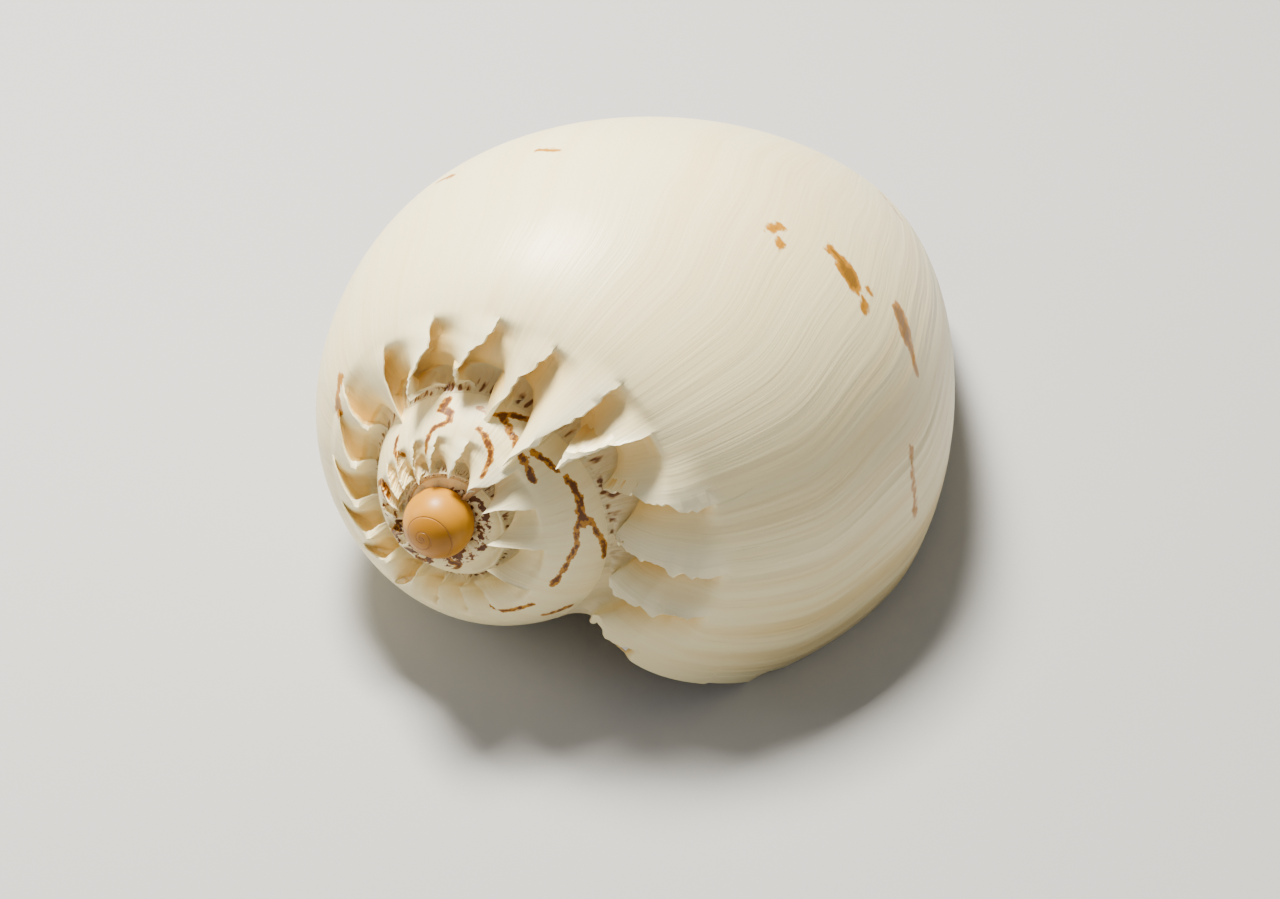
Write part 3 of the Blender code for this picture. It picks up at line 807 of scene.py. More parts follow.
@dataclass
class SweptPiece:
    """A closed mesh made of rings, with growth and arc as its UV map."""

    name: str
    rings: list[Ring]
    outer: int
    outside: Finish
    inside: Finish

    def build(self) -> bpy.types.Object:
        """Make the object.

        Returns:
            The new mesh object, with its faces pointing outwards.
        """
        rows = len(self.rings[0].points)
        faces = [(left + row, left + rows + row, left + rows + (row + 1) % rows, left + (row + 1) % rows)
                 for left in range(0, (len(self.rings) - 1) * rows, rows) for row in range(rows)]
        mesh = bpy.data.meshes.new(self.name)
        points = np.concatenate([ring.points for ring in self.rings])
        mesh.from_pydata(points.tolist(), [], faces)
        mesh.update()
        corners = np.empty(len(mesh.loops), dtype=np.int32)
        mesh.loops.foreach_get("vertex_index", corners)
        uv = np.concatenate([ring.uv for ring in self.rings]).astype(np.float32)
        mesh.uv_layers.new(name="growth").data.foreach_set("uv", uv[corners].ravel())
        marks = [streak_depth(ring.growth, ring.arc, SPIRE_MARKS) for ring in self.rings]
        # The tan attribute also carries the painted shade in crevices and the painted light on raised plates.
        for name, values in (("tan", [ring.tan for ring in self.rings]), ("mark", marks)):
            layer = mesh.attributes.new(name, "FLOAT", "POINT")
            layer.data.foreach_set("value", np.concatenate(values).astype(np.float32))
        slots = np.where(np.arange(rows) < self.outer - 1, 0, 1)
        mesh.polygons.foreach_set("material_index", np.tile(slots, len(self.rings) - 1).astype(np.int32))
        for finish in (self.outside, self.inside):
            mesh.materials.append(bpy.data.materials[finish.value])
        made = bpy.data.objects.new(self.name, mesh)
        bpy.context.collection.objects.link(made)
        self._close(mesh, rows)
        return made

    @staticmethod
    def _way_along(arc: np.ndarray) -> np.ndarray:
        """How far along its side each point lies, from 0 to 1."""
        level = np.ptp(arc) == 0.0
        return np.linspace(0.0, 1.0, len(arc)) if level else (arc - arc[0]) / (arc[-1] - arc[0])

    def _close(self, mesh: bpy.types.Mesh, rows: int) -> None:
        """Close both ends with a strip from side to side, and turn the faces outwards.

        Args:
            mesh: The mesh of rings.
            rows: How many points a ring has.
        """
        work = bmesh.new()
        work.from_mesh(mesh)
        work.verts.ensure_lookup_table()
        arc = self.rings[0].arc
        near_way, far_way = self._way_along(arc[:self.outer]), self._way_along(arc[self.outer:][::-1])
        for first, flip in ((0, False), ((len(self.rings) - 1) * rows, True)):
            near = [work.verts[first + row] for row in range(self.outer)]
            far = [work.verts[first + row] for row in range(rows - 1, self.outer - 1, -1)]
            i = j = 0
            while i < len(near) - 1 or j < len(far) - 1:
                step_near = j == len(far) - 1 or i < len(near) - 1 and far_way[j + 1] >= near_way[i + 1]
                corners = [near[i], near[i + 1], far[j]] if step_near else [near[i], far[j + 1], far[j]]
                work.faces.new(corners if flip else corners[::-1]).material_index = 0
                i, j = (i + 1, j) if step_near else (i, j + 1)
        bmesh.ops.remove_doubles(work, verts=work.verts, dist=1e-7)
        if work.calc_volume(signed=True) < 0.0:
            bmesh.ops.reverse_faces(work, faces=work.faces)
        work.to_mesh(mesh)
        work.free()


@dataclass
class Wall:
    """The coiled wall of the shell: a hollow body and an older, solid spire."""

    line: GrowthLine
    crown: Crown
    seam: float = -447.0
    axis: tuple[Pair, ...] = ((100.0, -122.0), (50.0, -122.0), (2.0, -112.0), (2.0, -43.0))
    overlap_radius: float = 127.0
    overlap_arc: float = 140.0
    lining_every: int = 3
    lining_arc: float = 60.0  # the lining takes its growth from the row at this arc
    lip_steps: tuple[Pair, ...] = ((0.20, 0.6), (0.42, 0.8))  # share of the wall, millimetres ahead

    def build_body(self) -> bpy.types.Object:
        """The hollow part of the wall, from the seam to the lip.

        Returns:
            The new mesh object.
        """
        line = self.line
        count = len(line.points)
        front = np.arange(count - line.front_rows, count)
        picked = np.unique(np.append(np.arange(0, count, self.lining_every), front))[::-1]
        rings = []
        for points, growth, tan in self.crown.columns(self.seam, 0.0):
            middle = float(np.clip(growth[line.arc > self.lining_arc][0], self.seam, 0.0))
            inner = line.points + line.inward * line.wall_at(middle)[:, None]
            lining = line.place(inner, np.full(count, middle))[picked]
            rings.append(Ring.of(
                (line.place(points, growth), growth, line.arc, tan),
                (lining, np.full(len(picked), middle), line.arc[picked], np.zeros(len(picked)))))
        rings += self._rounded_lip(rings[-2], rings[-1], picked)
        return SweptPiece("body whorl", rings, count, Finish.OUTSIDE, Finish.INSIDE).build()

    def _rounded_lip(self, before: Ring, last: Ring, picked: np.ndarray) -> list[Ring]:
        """Narrower rings further on, so that the lip's edge is rounded.

        Args:
            before: The last ring but one.
            last: The last ring of the wall.
            picked: The rows of the growth line that the lining has.

        Returns:
            The rings to add.
        """
        count = len(self.line.points)
        ahead = unit(last.points - before.points)
        outer, lining = last.points[:count], last.points[count:]
        order = np.argsort(self.line.arc[picked])
        facing = np.stack([np.interp(self.line.arc, self.line.arc[picked][order], lining[order, axis])
                           for axis in range(3)], 1)
        across = np.concatenate([facing - outer, outer[picked] - lining])
        return [Ring(last.points + share * across + ahead * far * MM, last.growth, last.arc, last.tan)
                for share, far in self.lip_steps]

    def build_spire(self) -> bpy.types.Object:
        """The older whorls, closed down to the axis.

        Returns:
            The new mesh object.
        """
        line = self.line
        before_overlap = (line.arc < self.overlap_arc) & (line.points[:, 0] < self.overlap_radius)
        kept = int(np.flatnonzero(before_overlap)[-1]) + 2
        closing = np.array(self.axis)
        rings = []
        for points, growth, tan in self.crown.columns(self.crown.oldest, self.seam):
            newest = float(growth.max())
            size = float(line.spiral.size(newest))
            angle = np.full(len(closing), -math.radians(line.spiral.lip_drop + newest))
            axial = line.spiral.to_world(closing[:, 0] * size, closing[:, 1] * size, angle)
            rings.append(Ring.of(
                (line.place(points[:kept], growth[:kept]), growth[:kept], line.arc[:kept], tan[:kept]),
                (axial, np.full(len(closing), newest), np.full(len(closing), line.arc[kept]),
                 np.zeros(len(closing)))))
        return SweptPiece("spire", rings, kept, Finish.OUTSIDE, Finish.OUTSIDE).build()


@dataclass
class Columella:
    """The pillar on the axis, with steep pleats on it and a blunt front end."""

    spiral: Spiral
    top: float = -45.0
    tip: float = -300.0
    slope: float = 0.115
    radius: float = 17.0
    bend: float = 14.0
    bend_power: int = 4
    bend_toward: float = -110.0
    blunt_share: Pair = (0.93, 1.005)
    blunt_rest: float = 0.001
    pleats: int = 4
    pleat_side: float = 270.0
    pleat_spacing: float = 26.0
    pleat_width: float = 7.5
    pleat_height: float = 2.6
    pleats_begin: Pair = (-170.0, -230.0)
    pleats_end: Pair = (0.90, 0.98)
    rings: int = 60
    sides: int = 80

    def build(self) -> bpy.types.Object:
        """Model the pillar from rings set along the axis.

        Returns:
            The new mesh object.
        """
        turns = np.radians(np.arange(0.0, 360.0, 360.0 / self.sides))
        rings = [Ring(self._ring(share, turns), np.degrees(turns), np.full(self.sides, 100.0 * share),
                      np.zeros(self.sides)) for share in np.linspace(0.0, 1.0, self.rings)]
        half = self.sides // 2
        return SweptPiece("columella", rings, half, Finish.COLUMELLA, Finish.COLUMELLA).build()

    def _ring(self, share: float, turns: np.ndarray) -> np.ndarray:
        """The points of one ring.

        Args:
            share: Its share of the way from the top to the tip.
            turns: The angles of its points round the axis, in radians.

        Returns:
            World points in metres.
        """
        height = self.top + (self.tip - self.top) * share
        blunt = math.sqrt(max(1.0 - float(smoothstep(*self.blunt_share, share)) ** 2, 0.0)) + self.blunt_rest
        radius = self.radius * math.tanh(-self.slope * height / self.radius) * blunt
        phase = np.degrees(turns + math.log(height / self.tip) / self.spiral.rate)
        first = self.pleat_spacing * (self.pleats - 1) / 2.0
        along = (phase + self.pleat_side) % 360.0 - 180.0 + first
        nearest = np.clip(np.round(along / self.pleat_spacing), 0, self.pleats - 1) * self.pleat_spacing
        ridge = np.exp(-((along - nearest) / self.pleat_width) ** 2) * self.pleat_height
        fade = smoothstep(*self.pleats_begin, height) * (1.0 - smoothstep(*self.pleats_end, share))
        grown = radius + ridge * fade
        bend, toward = self.bend * (height / self.tip) ** self.bend_power, math.radians(self.bend_toward)
        across = grown * np.cos(turns) + bend * math.cos(toward)
        up = grown * np.sin(turns) + bend * math.sin(toward)
        return self.spiral.to_world(np.hypot(across, up), np.full(len(turns), height), np.arctan2(up, across))


@dataclass
class Protoconch:
    """The smooth dome that the shell began as."""

    spiral: Spiral
    height: float = -8.2
    radius: float = 11.8

    def build(self) -> bpy.types.Object:
        """Model the dome from a sphere.

        Returns:
            The new mesh object.
        """
        centre = self.spiral.to_world(0.0, self.height, 0.0)
        bpy.ops.object.select_all(action="DESELECT")
        bpy.ops.mesh.primitive_uv_sphere_add(
            segments=64, ring_count=32, radius=self.radius * MM, location=centre)
        dome = bpy.context.object
        dome.name = "protoconch"
        bpy.ops.object.transform_apply(location=True, rotation=True, scale=True)
        dome.data.uv_layers[0].name = "growth"
        dome.data.materials.append(bpy.data.materials[Finish.PROTOCONCH.value])
        return dome


# ---------------------------------------------------------------- finishes

class Shader:
    """A material's node tree, written as sums."""

    def __init__(self, finish: Finish, roughness: float, coat: float = 0.0, subsurface: float = 0.0,
                 specular: float = 0.5) -> None:
        """Start a material with a Principled BSDF.

        Args:
            finish: The material to make.
            roughness: How rough its surface is.
            coat: Weight of the glossy coat.
            subsurface: Weight of the light that spreads under the surface.
            specular: Strength of the plain reflection.
        """
        self.material = bpy.data.materials.new(finish.value)
        self.material.use_nodes = True
        self.tree = self.material.node_tree
        self.surface = self.tree.nodes["Principled BSDF"]
        for socket, value in {
            "Roughness": roughness, "Specular IOR Level": specular,
            "Coat Weight": coat, "Coat Roughness": 0.12,
            "Subsurface Weight": subsurface, "Subsurface Radius": (1.0, 0.6, 0.35),
            "Subsurface Scale": 0.0015,
        }.items():
            self.surface.inputs[socket].default_value = value

    def cover(self, paint: Socket, normal: Socket) -> bpy.types.Material:
        """Give the surface its colour and its normal.

        Args:
            paint: The colour.
            normal: The normal.

        Returns:
            The finished material.
        """
        self.put(self.surface.inputs["Base Color"], paint)
        self.put(self.surface.inputs["Normal"], normal)
        return self.material

    def put(self, socket: bpy.types.NodeSocket, value: object) -> None:
        """Link a socket or set its value.

        Args:
            socket: The input to fill.
            value: An output to link to it, or a plain value.
        """
        if isinstance(value, bpy.types.NodeSocket):
            self.tree.links.new(value, socket)
        else:
            socket.default_value = value

    def node(self, kind: str, *values: object, **settings: object) -> bpy.types.Node:
        """Add a node.

        Args:
            kind: The node's type.
            values: What its first inputs get.
            settings: Its properties by name.

        Returns:
            The new node.
        """
        made = self.tree.nodes.new(kind)
        for key, value in settings.items():
            setattr(made, key, value)
        for index, value in enumerate(values):
            self.put(made.inputs[index], value)
        return made

    def math(self, operation: str, a: Socket, b: Socket = 0.0, clamp: bool = False) -> bpy.types.NodeSocket:
        """One sum of two numbers."""
        return self.node("ShaderNodeMath", a, b, operation=operation, use_clamp=clamp).outputs[0]

    def times(self, *factors: Socket) -> bpy.types.NodeSocket:
        """The product of numbers."""
        return reduce(lambda a, b: self.math("MULTIPLY", a, b), factors)

    def plus(self, *numbers: Socket) -> bpy.types.NodeSocket:
        """The sum of numbers."""
        return reduce(lambda a, b: self.math("ADD", a, b), numbers)

    def less(self, a: Socket, b: Socket) -> bpy.types.NodeSocket:
        """One number less another."""
        return self.math("SUBTRACT", a, b)

    def vector(self, operation: str, a: object, b: object = (0.0, 0.0, 0.0)) -> bpy.types.NodeSocket:
        """One sum of two vectors, which gives a vector, a dot product or a length."""
        made = self.node("ShaderNodeVectorMath", a, b, operation=operation)
        return made.outputs[1 if operation in ("DOT_PRODUCT", "LENGTH") else 0]

    def scaled(self, vector: object, factor: Socket) -> bpy.types.NodeSocket:
        """A vector times a number."""
        none = (0.0, 0.0, 0.0)
        return self.node("ShaderNodeVectorMath", vector, none, none, factor, operation="SCALE").outputs[0]

    def ease(self, value: Socket, low: float, high: float, start: float = 0.0,
             end: float = 1.0) -> bpy.types.NodeSocket:
        """Ease a number from start at low to end at high."""
        made = self.node("ShaderNodeMapRange", value, low, high, start, end, interpolation_type="SMOOTHSTEP")
        return made.outputs[0]

    def mix(self, share: Socket, first: object, second: object) -> bpy.types.NodeSocket:
        """Blend two colours.

        Args:
            share: How much of the second colour there is.
            first: The first colour.
            second: The second colour.

        Returns:
            The blend.
        """
        made = self.node("ShaderNodeMix", share, data_type="RGBA")
        self.put(made.inputs[6], first)
        self.put(made.inputs[7], second)
        return made.outputs[2]

    def noise(self, vector: Socket, scale: float, detail: float, roughness: float,
              output: int = 0) -> bpy.types.NodeSocket:
        """Noise between 0 and 1.

        Args:
            vector: The place to read it at.
            scale: How fine it is.
            detail: How many finer noises are added.
            roughness: How strong those are.
            output: 0 for a number and 1 for a colour.

        Returns:
            The noise.
        """
        made = self.node("ShaderNodeTexNoise", vector)
        for name, value in (("Scale", scale), ("Detail", detail), ("Roughness", roughness)):
            made.inputs[name].default_value = value
        return made.outputs[output]

    @cached_property
    def grown(self) -> tuple[bpy.types.NodeSocket, bpy.types.NodeSocket]:
        """Growth in degrees and arc in millimetres, from the piece's own UV map."""
        parts = self.node("ShaderNodeSeparateXYZ", self.node("ShaderNodeUVMap", uv_map="growth").outputs[0])
        return self.times(self.less(parts.outputs[0], 3.0), 360.0), self.times(parts.outputs[1], 100.0)

    def attribute(self, name: str) -> bpy.types.NodeSocket:
        """A number that the mesh carries in its points."""
        return self.node("ShaderNodeAttribute", attribute_name=name).outputs[2]

    def object_place(self) -> bpy.types.NodeSocket:
        """A place in the object's own metres."""
        return self.node("ShaderNodeTexCoord").outputs["Object"]

    def join(self, x: Socket, y: Socket, z: Socket = 0.0) -> bpy.types.NodeSocket:
        """A vector from three numbers."""
        return self.node("ShaderNodeCombineXYZ", x, y, z).outputs[0]

    def bump(self, height: Socket, distance: float, under: object = None) -> bpy.types.NodeSocket:
        """Bump a normal.

        Args:
            height: A height between 0 and 1.
            distance: What a height of 1 stands for, in metres.
            under: The normal to bump, if it isn't the surface's own.

        Returns:
            The new normal.
        """
        made = self.node("ShaderNodeBump")
        made.inputs["Distance"].default_value = distance
        self.put(made.inputs["Height"], height)
        if under is not None:
            self.put(made.inputs["Normal"], under)
        return made.outputs[0]


def colour(red: float, green: float, blue: float) -> tuple[float, float, float, float]:
    """An opaque colour."""
    return (red, green, blue, 1.0)


@dataclass(frozen=True)
class Porcelain:
    """The outside: white porcelain, growth lines, tan hollows, brown marks, shade painted in the crevices
    under torn edges and light painted on raised plates.
    """

    white: tuple = colour(0.94, 0.82, 0.47)
    cream: tuple = colour(0.80, 0.58, 0.24)
    # Painted light: the lighter colour of raised plates near their torn edges.
    painted_light: tuple = colour(0.98, 0.885, 0.57)
    tan: tuple = colour(0.88, 0.58, 0.15)
    ramp: tuple = colour(0.66, 0.54, 0.32)
    # Painted shade in the crevices under torn edges, also the dark of the fine scores near the lip.
    shade: tuple = colour(0.34, 0.24, 0.12)
    amber: tuple = colour(0.50, 0.21, 0.006)
    orange: tuple = colour(0.34, 0.13, 0.02)
    brown: tuple = colour(0.13, 0.038, 0.003)
    umber: tuple = colour(0.24, 0.105, 0.003)
    roughness: float = 0.37
    specular: float = 0.44
    subsurface: float = 0.08
    # A grain is a noise's scale, detail and roughness. A pull stretches it along the arc.
    line_pull: float = 0.014
    line_grain: Triple = (1.3, 2.0, 0.6)
    warm_grain: Triple = (0.18, 3.0, 0.6)
    warm_noise: Pair = (0.42, 0.68)
    warm_share: Pair = (0.28, 0.5)  # everywhere, and how much more near the lip
    lip_growth: Pair = (-70.0, -8.0)
    lip_arc: Pair = (10.0, 70.0)
    # Fine dark scores near the lip.
    score_pull: float = 0.006
    score_grain: Triple = (2.6, 3.0, 0.7)
    score_noise: Pair = (0.60, 0.74)
    score_growth: Pair = (-85.0, -20.0)
    score_arc: Pair = (15.0, 40.0)
    score_share: float = 0.5
    # The ramp between the suture and the crest.
    ramp_arc: Pair = (-9.0, -1.0)
    ramp_growth: tuple[float, ...] = (-760.0, -620.0, 0.12, 0.55)  # and its shares there
    # Stained hollows, the shade painted in their crevices and the light painted on raised plates.
    tan_share: float = 0.9
    crevice_shade_tan: tuple[float, ...] = (0.85, 1.5, 0.0, 0.6)
    painted_light_tan: Pair = (-0.1, -0.9)
    # Relief in metres, and how strong the wrinkles are everywhere and on the ramp.
    line_relief: float = 0.00014
    wrinkle_relief: float = 0.0022
    wrinkle_grain: Triple = (0.30, 2.0, 0.5)
    wrinkle_share: Pair = (0.12, 0.8)
    # The dashes at the suture.
    dot_pull: float = 0.30
    dot_grain: Triple = (0.42, 1.0, 0.5)
    dot_blur_grain: Triple = (1.6, 2.0, 0.5)
    dot_blur: float = 0.12
    dot_arcs: tuple[Pair, Pair] = ((-16.5, -13.5), (-5.0, -11.0))
    dot_gap: float = 0.45
    dot_growth: Pair = (-12.0, -40.0)
    dot_orange: Pair = (0.46, 0.56)
    dot_orange_share: float = 0.55
    dot_brown: Pair = (0.54, 0.64)
    dot_brown_share: float = 0.9
    # The blotches round the protoconch.
    blotch_degree: float = 1.6
    blotch_grain: Triple = (0.055, 3.0, 0.6)
    blotch_gap: float = 0.5
    blotch_growth: Pair = (-540.0, -600.0)
    blotch_arc: Pair = (46.0, 26.0)
    blotch_orange: Pair = (0.485, 0.53)
    blotch_brown: Pair = (0.51, 0.55)
    # The streaks: ramps of the depth inside them, in millimetres.
    streak_degree: float = 2.0
    shake: float = 7.0
    shake_grain: Triple = (0.22, 3.0, 0.5)
    body_amber: Pair = (-0.8, 0.8)
    body_umber: Pair = (0.8, 3.2)
    ragged: Pair = (7.0, 2.4)  # how far a coarse and a fine noise move an edge
    ragged_grains: tuple[Triple, Triple] = ((0.13, 2.0, 0.5), (0.55, 2.0, 0.5))
    spire_amber: Pair = (-0.8, 0.3)
    spire_brown: Pair = (0.2, 2.0)
    patch_grain: Triple = (0.16, 1.0, 0.5)
    patch: tuple[float, ...] = (0.36, 0.56, 1.6, -0.2)

    def dress(self) -> bpy.types.Material:
        """Build the material.

        Returns:
            The finished material.
        """
        shader = Shader(Finish.OUTSIDE, self.roughness, subsurface=self.subsurface, specular=self.specular)
        degrees, arc = shader.grown
        lines = shader.join(degrees, shader.times(arc, self.line_pull))
        near_lip = shader.times(shader.ease(degrees, *self.lip_growth), shader.ease(arc, *self.lip_arc))
        ramp = shader.less(1.0, shader.ease(arc, *self.ramp_arc))
        warm = shader.ease(shader.noise(lines, *self.warm_grain), *self.warm_noise)
        everywhere, at_lip = self.warm_share
        share = shader.times(warm, shader.plus(everywhere, shader.times(near_lip, at_lip)))
        paint = shader.mix(share, self.white, self.cream)
        paint = self._scores(shader, paint)
        share = shader.times(ramp, shader.ease(degrees, *self.ramp_growth))
        paint = shader.mix(share, paint, self.ramp)
        stain_and_shade = shader.attribute("tan")
        paint = shader.mix(shader.math("MULTIPLY", stain_and_shade, self.tan_share, clamp=True), paint, self.tan)
        # Painted shade in the crevices under torn edges, where the tan attribute runs above 0.85.
        paint = shader.mix(shader.ease(stain_and_shade, *self.crevice_shade_tan), paint, self.shade)
        # Painted light on raised plates, where the tan attribute is below 0.
        paint = shader.mix(shader.ease(stain_and_shade, *self.painted_light_tan), paint, self.painted_light)
        for layer in (self._dots, self._blotches, self._streaks):
            paint = layer(shader, paint)
        height = shader.plus(self.wrinkle_share[0], near_lip, shader.times(ramp, self.wrinkle_share[1]))
        wrinkles = shader.times(shader.noise(lines, *self.wrinkle_grain), height)
        fine = shader.bump(shader.noise(lines, *self.line_grain), self.line_relief)
        return shader.cover(paint, shader.bump(wrinkles, self.wrinkle_relief, fine))

    def _scores(self, shader: Shader, paint: Socket) -> bpy.types.NodeSocket:
        """Fine dark growth lines near the lip.

        Args:
            shader: The material that is made.
            paint: The colour beneath.

        Returns:
            The colour with the lines on it.
        """
        degrees, arc = shader.grown
        lines = shader.join(degrees, shader.times(arc, self.score_pull))
        crisp = shader.noise(lines, *self.score_grain)
        share = shader.times(shader.ease(crisp, *self.score_noise), shader.ease(degrees, *self.score_growth),
                             shader.ease(arc, *self.score_arc), self.score_share)
        return shader.mix(share, paint, self.shade)

    def _dots(self, shader: Shader, paint: Socket) -> bpy.types.NodeSocket:
        """Brown dashes in the channel along every suture.

        Args:
            shader: The material that is made.
            paint: The colour beneath.

        Returns:
            The colour with the dashes on it.
        """
        degrees, arc = shader.grown
        place = shader.join(degrees, shader.times(arc, self.dot_pull))
        blur = shader.times(shader.less(shader.noise(place, *self.dot_blur_grain), 0.5), self.dot_blur)
        beat = shader.plus(shader.noise(place, *self.dot_grain), blur)
        band = shader.times(*(shader.ease(arc, *arcs) for arcs in self.dot_arcs))
        older = shader.ease(degrees, *self.dot_growth)
        depth = shader.plus(beat, shader.times(shader.less(band, 1.0), self.dot_gap))
        faint = shader.times(shader.ease(depth, *self.dot_orange), older)
        dark = shader.times(shader.ease(depth, *self.dot_brown), older)
        paint = shader.mix(shader.times(faint, self.dot_orange_share), paint, self.orange)
        return shader.mix(shader.times(dark, self.dot_brown_share), paint, self.brown)

    def _blotches(self, shader: Shader, paint: Socket) -> bpy.types.NodeSocket:
        """Brown blotches among the first spines, round the protoconch.

        Args:
            shader: The material that is made.
            paint: The colour beneath.

        Returns:
            The colour with the blotches on it.
        """
        degrees, arc = shader.grown
        place = shader.join(shader.times(degrees, self.blotch_degree), arc)
        cloud = shader.noise(place, *self.blotch_grain)
        young = shader.times(shader.ease(degrees, *self.blotch_growth), shader.ease(arc, *self.blotch_arc))
        depth = shader.plus(cloud, shader.times(shader.less(young, 1.0), self.blotch_gap))
        paint = shader.mix(shader.ease(depth, *self.blotch_orange), paint, self.orange)
        return shader.mix(shader.ease(depth, *self.blotch_brown), paint, self.brown)

    def _streaks(self, shader: Shader, paint: Socket) -> bpy.types.NodeSocket:
        """Brown streaks with orange edges: those of the body, then those of the spire.

        Args:
            shader: The material that is made.
            paint: The colour beneath.

        Returns:
            The colour with the streaks on it.
        """
        degrees, arc = shader.grown
        place = shader.join(shader.times(degrees, self.streak_degree), arc)
        moved = shader.vector("SUBTRACT", shader.noise(place, *self.shake_grain, output=1), (0.5, 0.5, 0.5))
        wobbly = shader.vector("ADD", place, shader.scaled(moved, self.shake))
        streak = self._depth_in(shader, wobbly, BODY_MARKS)
        paint = shader.mix(shader.ease(streak, *self.body_amber), paint, self.amber)
        paint = shader.mix(shader.ease(streak, *self.body_umber), paint, self.umber)
        wide, fine = (shader.times(shader.less(shader.noise(place, *grain), 0.5), far)
                      for grain, far in zip(self.ragged_grains, self.ragged))
        depth = shader.plus(shader.attribute("mark"), shader.plus(wide, fine))
        paint = shader.mix(shader.ease(depth, *self.spire_amber), paint, self.amber)
        patch = shader.ease(shader.noise(place, *self.patch_grain), *self.patch)
        return shader.mix(shader.ease(shader.less(depth, patch), *self.spire_brown), paint, self.brown)

    def _depth_in(self, shader: Shader, place: Socket, marks: tuple[Mark, ...]) -> bpy.types.NodeSocket:
        """How deep a place lies inside the nearest of the marks.

        Args:
            shader: The material that is made.
            place: The place, as growth in streak degrees and arc.
            marks: The streaks.

        Returns:
            Millimetres, above 0 inside a mark.
        """
        depth: Socket = -99.0
        for mark in marks:
            for start, end in zip(mark.points, mark.points[1:]):
                a, b = (Vector((growth * self.streak_degree, arc, 0.0)) for growth, arc in (start, end))
                way = b - a
                offset = shader.vector("SUBTRACT", place, a)
                along = shader.vector("DOT_PRODUCT", offset, way)
                share = shader.math("DIVIDE", along, way.length_squared, clamp=True)
                rest = shader.vector("SUBTRACT", offset, shader.scaled(way, share))
                inside = shader.less(mark.half_width, shader.vector("LENGTH", rest))
                depth = shader.math("MAXIMUM", depth, inside)
        return depth


@dataclass(frozen=True)
class Lining:
    """The inside: glossy cream and orange, with a pale rim at the lip."""

    cream: tuple = colour(0.80, 0.66, 0.48)
    orange: tuple = colour(0.72, 0.40, 0.18)
    rim: tuple = colour(0.80, 0.75, 0.66)
    rim_growth: Pair = (-14.0, -3.0)
    cloud_pull: Pair = (0.05, 0.02)
    cloud_grain: Triple = (1.0, 3.0, 0.5)
    cloud: Pair = (0.3, 0.7)
    line_pull: float = 0.03
    line_grain: Triple = (0.5, 2.0, 0.5)
    relief: float = 0.0002
    roughness: float = 0.22
    coat: float = 0.5
    subsurface: float = 0.08

    def dress(self) -> bpy.types.Material:
        """Build the material.

        Returns:
            The finished material.
        """
        shader = Shader(Finish.INSIDE, self.roughness, self.coat, self.subsurface)
        degrees, arc = shader.grown
        place = shader.join(*(shader.times(way, pull) for way, pull in zip(shader.grown, self.cloud_pull)))
        cloud = shader.noise(place, *self.cloud_grain)
        paint = shader.mix(shader.ease(cloud, *self.cloud), self.cream, self.orange)
        paint = shader.mix(shader.ease(degrees, *self.rim_growth), paint, self.rim)
        lines = shader.join(degrees, shader.times(arc, self.line_pull))
        return shader.cover(paint, shader.bump(shader.noise(lines, *self.line_grain), self.relief))


@dataclass(frozen=True)
class Callus:
    """The columella: smooth cream callus with an orange cloud."""

    cream: tuple = colour(0.80, 0.68, 0.52)
    orange: tuple = colour(0.70, 0.45, 0.24)
    cloud_grain: Triple = (22.0, 3.0, 0.5)
    cloud: Pair = (0.35, 0.7)
    fine_grain: Triple = (160.0, 3.0, 0.5)
    relief: float = 0.00012
    roughness: float = 0.25
    coat: float = 0.4
    subsurface: float = 0.08

    def dress(self) -> bpy.types.Material:
        """Build the material.

        Returns:
            The finished material.
        """
        shader = Shader(Finish.COLUMELLA, self.roughness, self.coat, self.subsurface)
        place = shader.object_place()
        cloud = shader.ease(shader.noise(place, *self.cloud_grain), *self.cloud)
        paint = shader.mix(cloud, self.cream, self.orange)
        return shader.cover(paint, shader.bump(shader.noise(place, *self.fine_grain), self.relief))


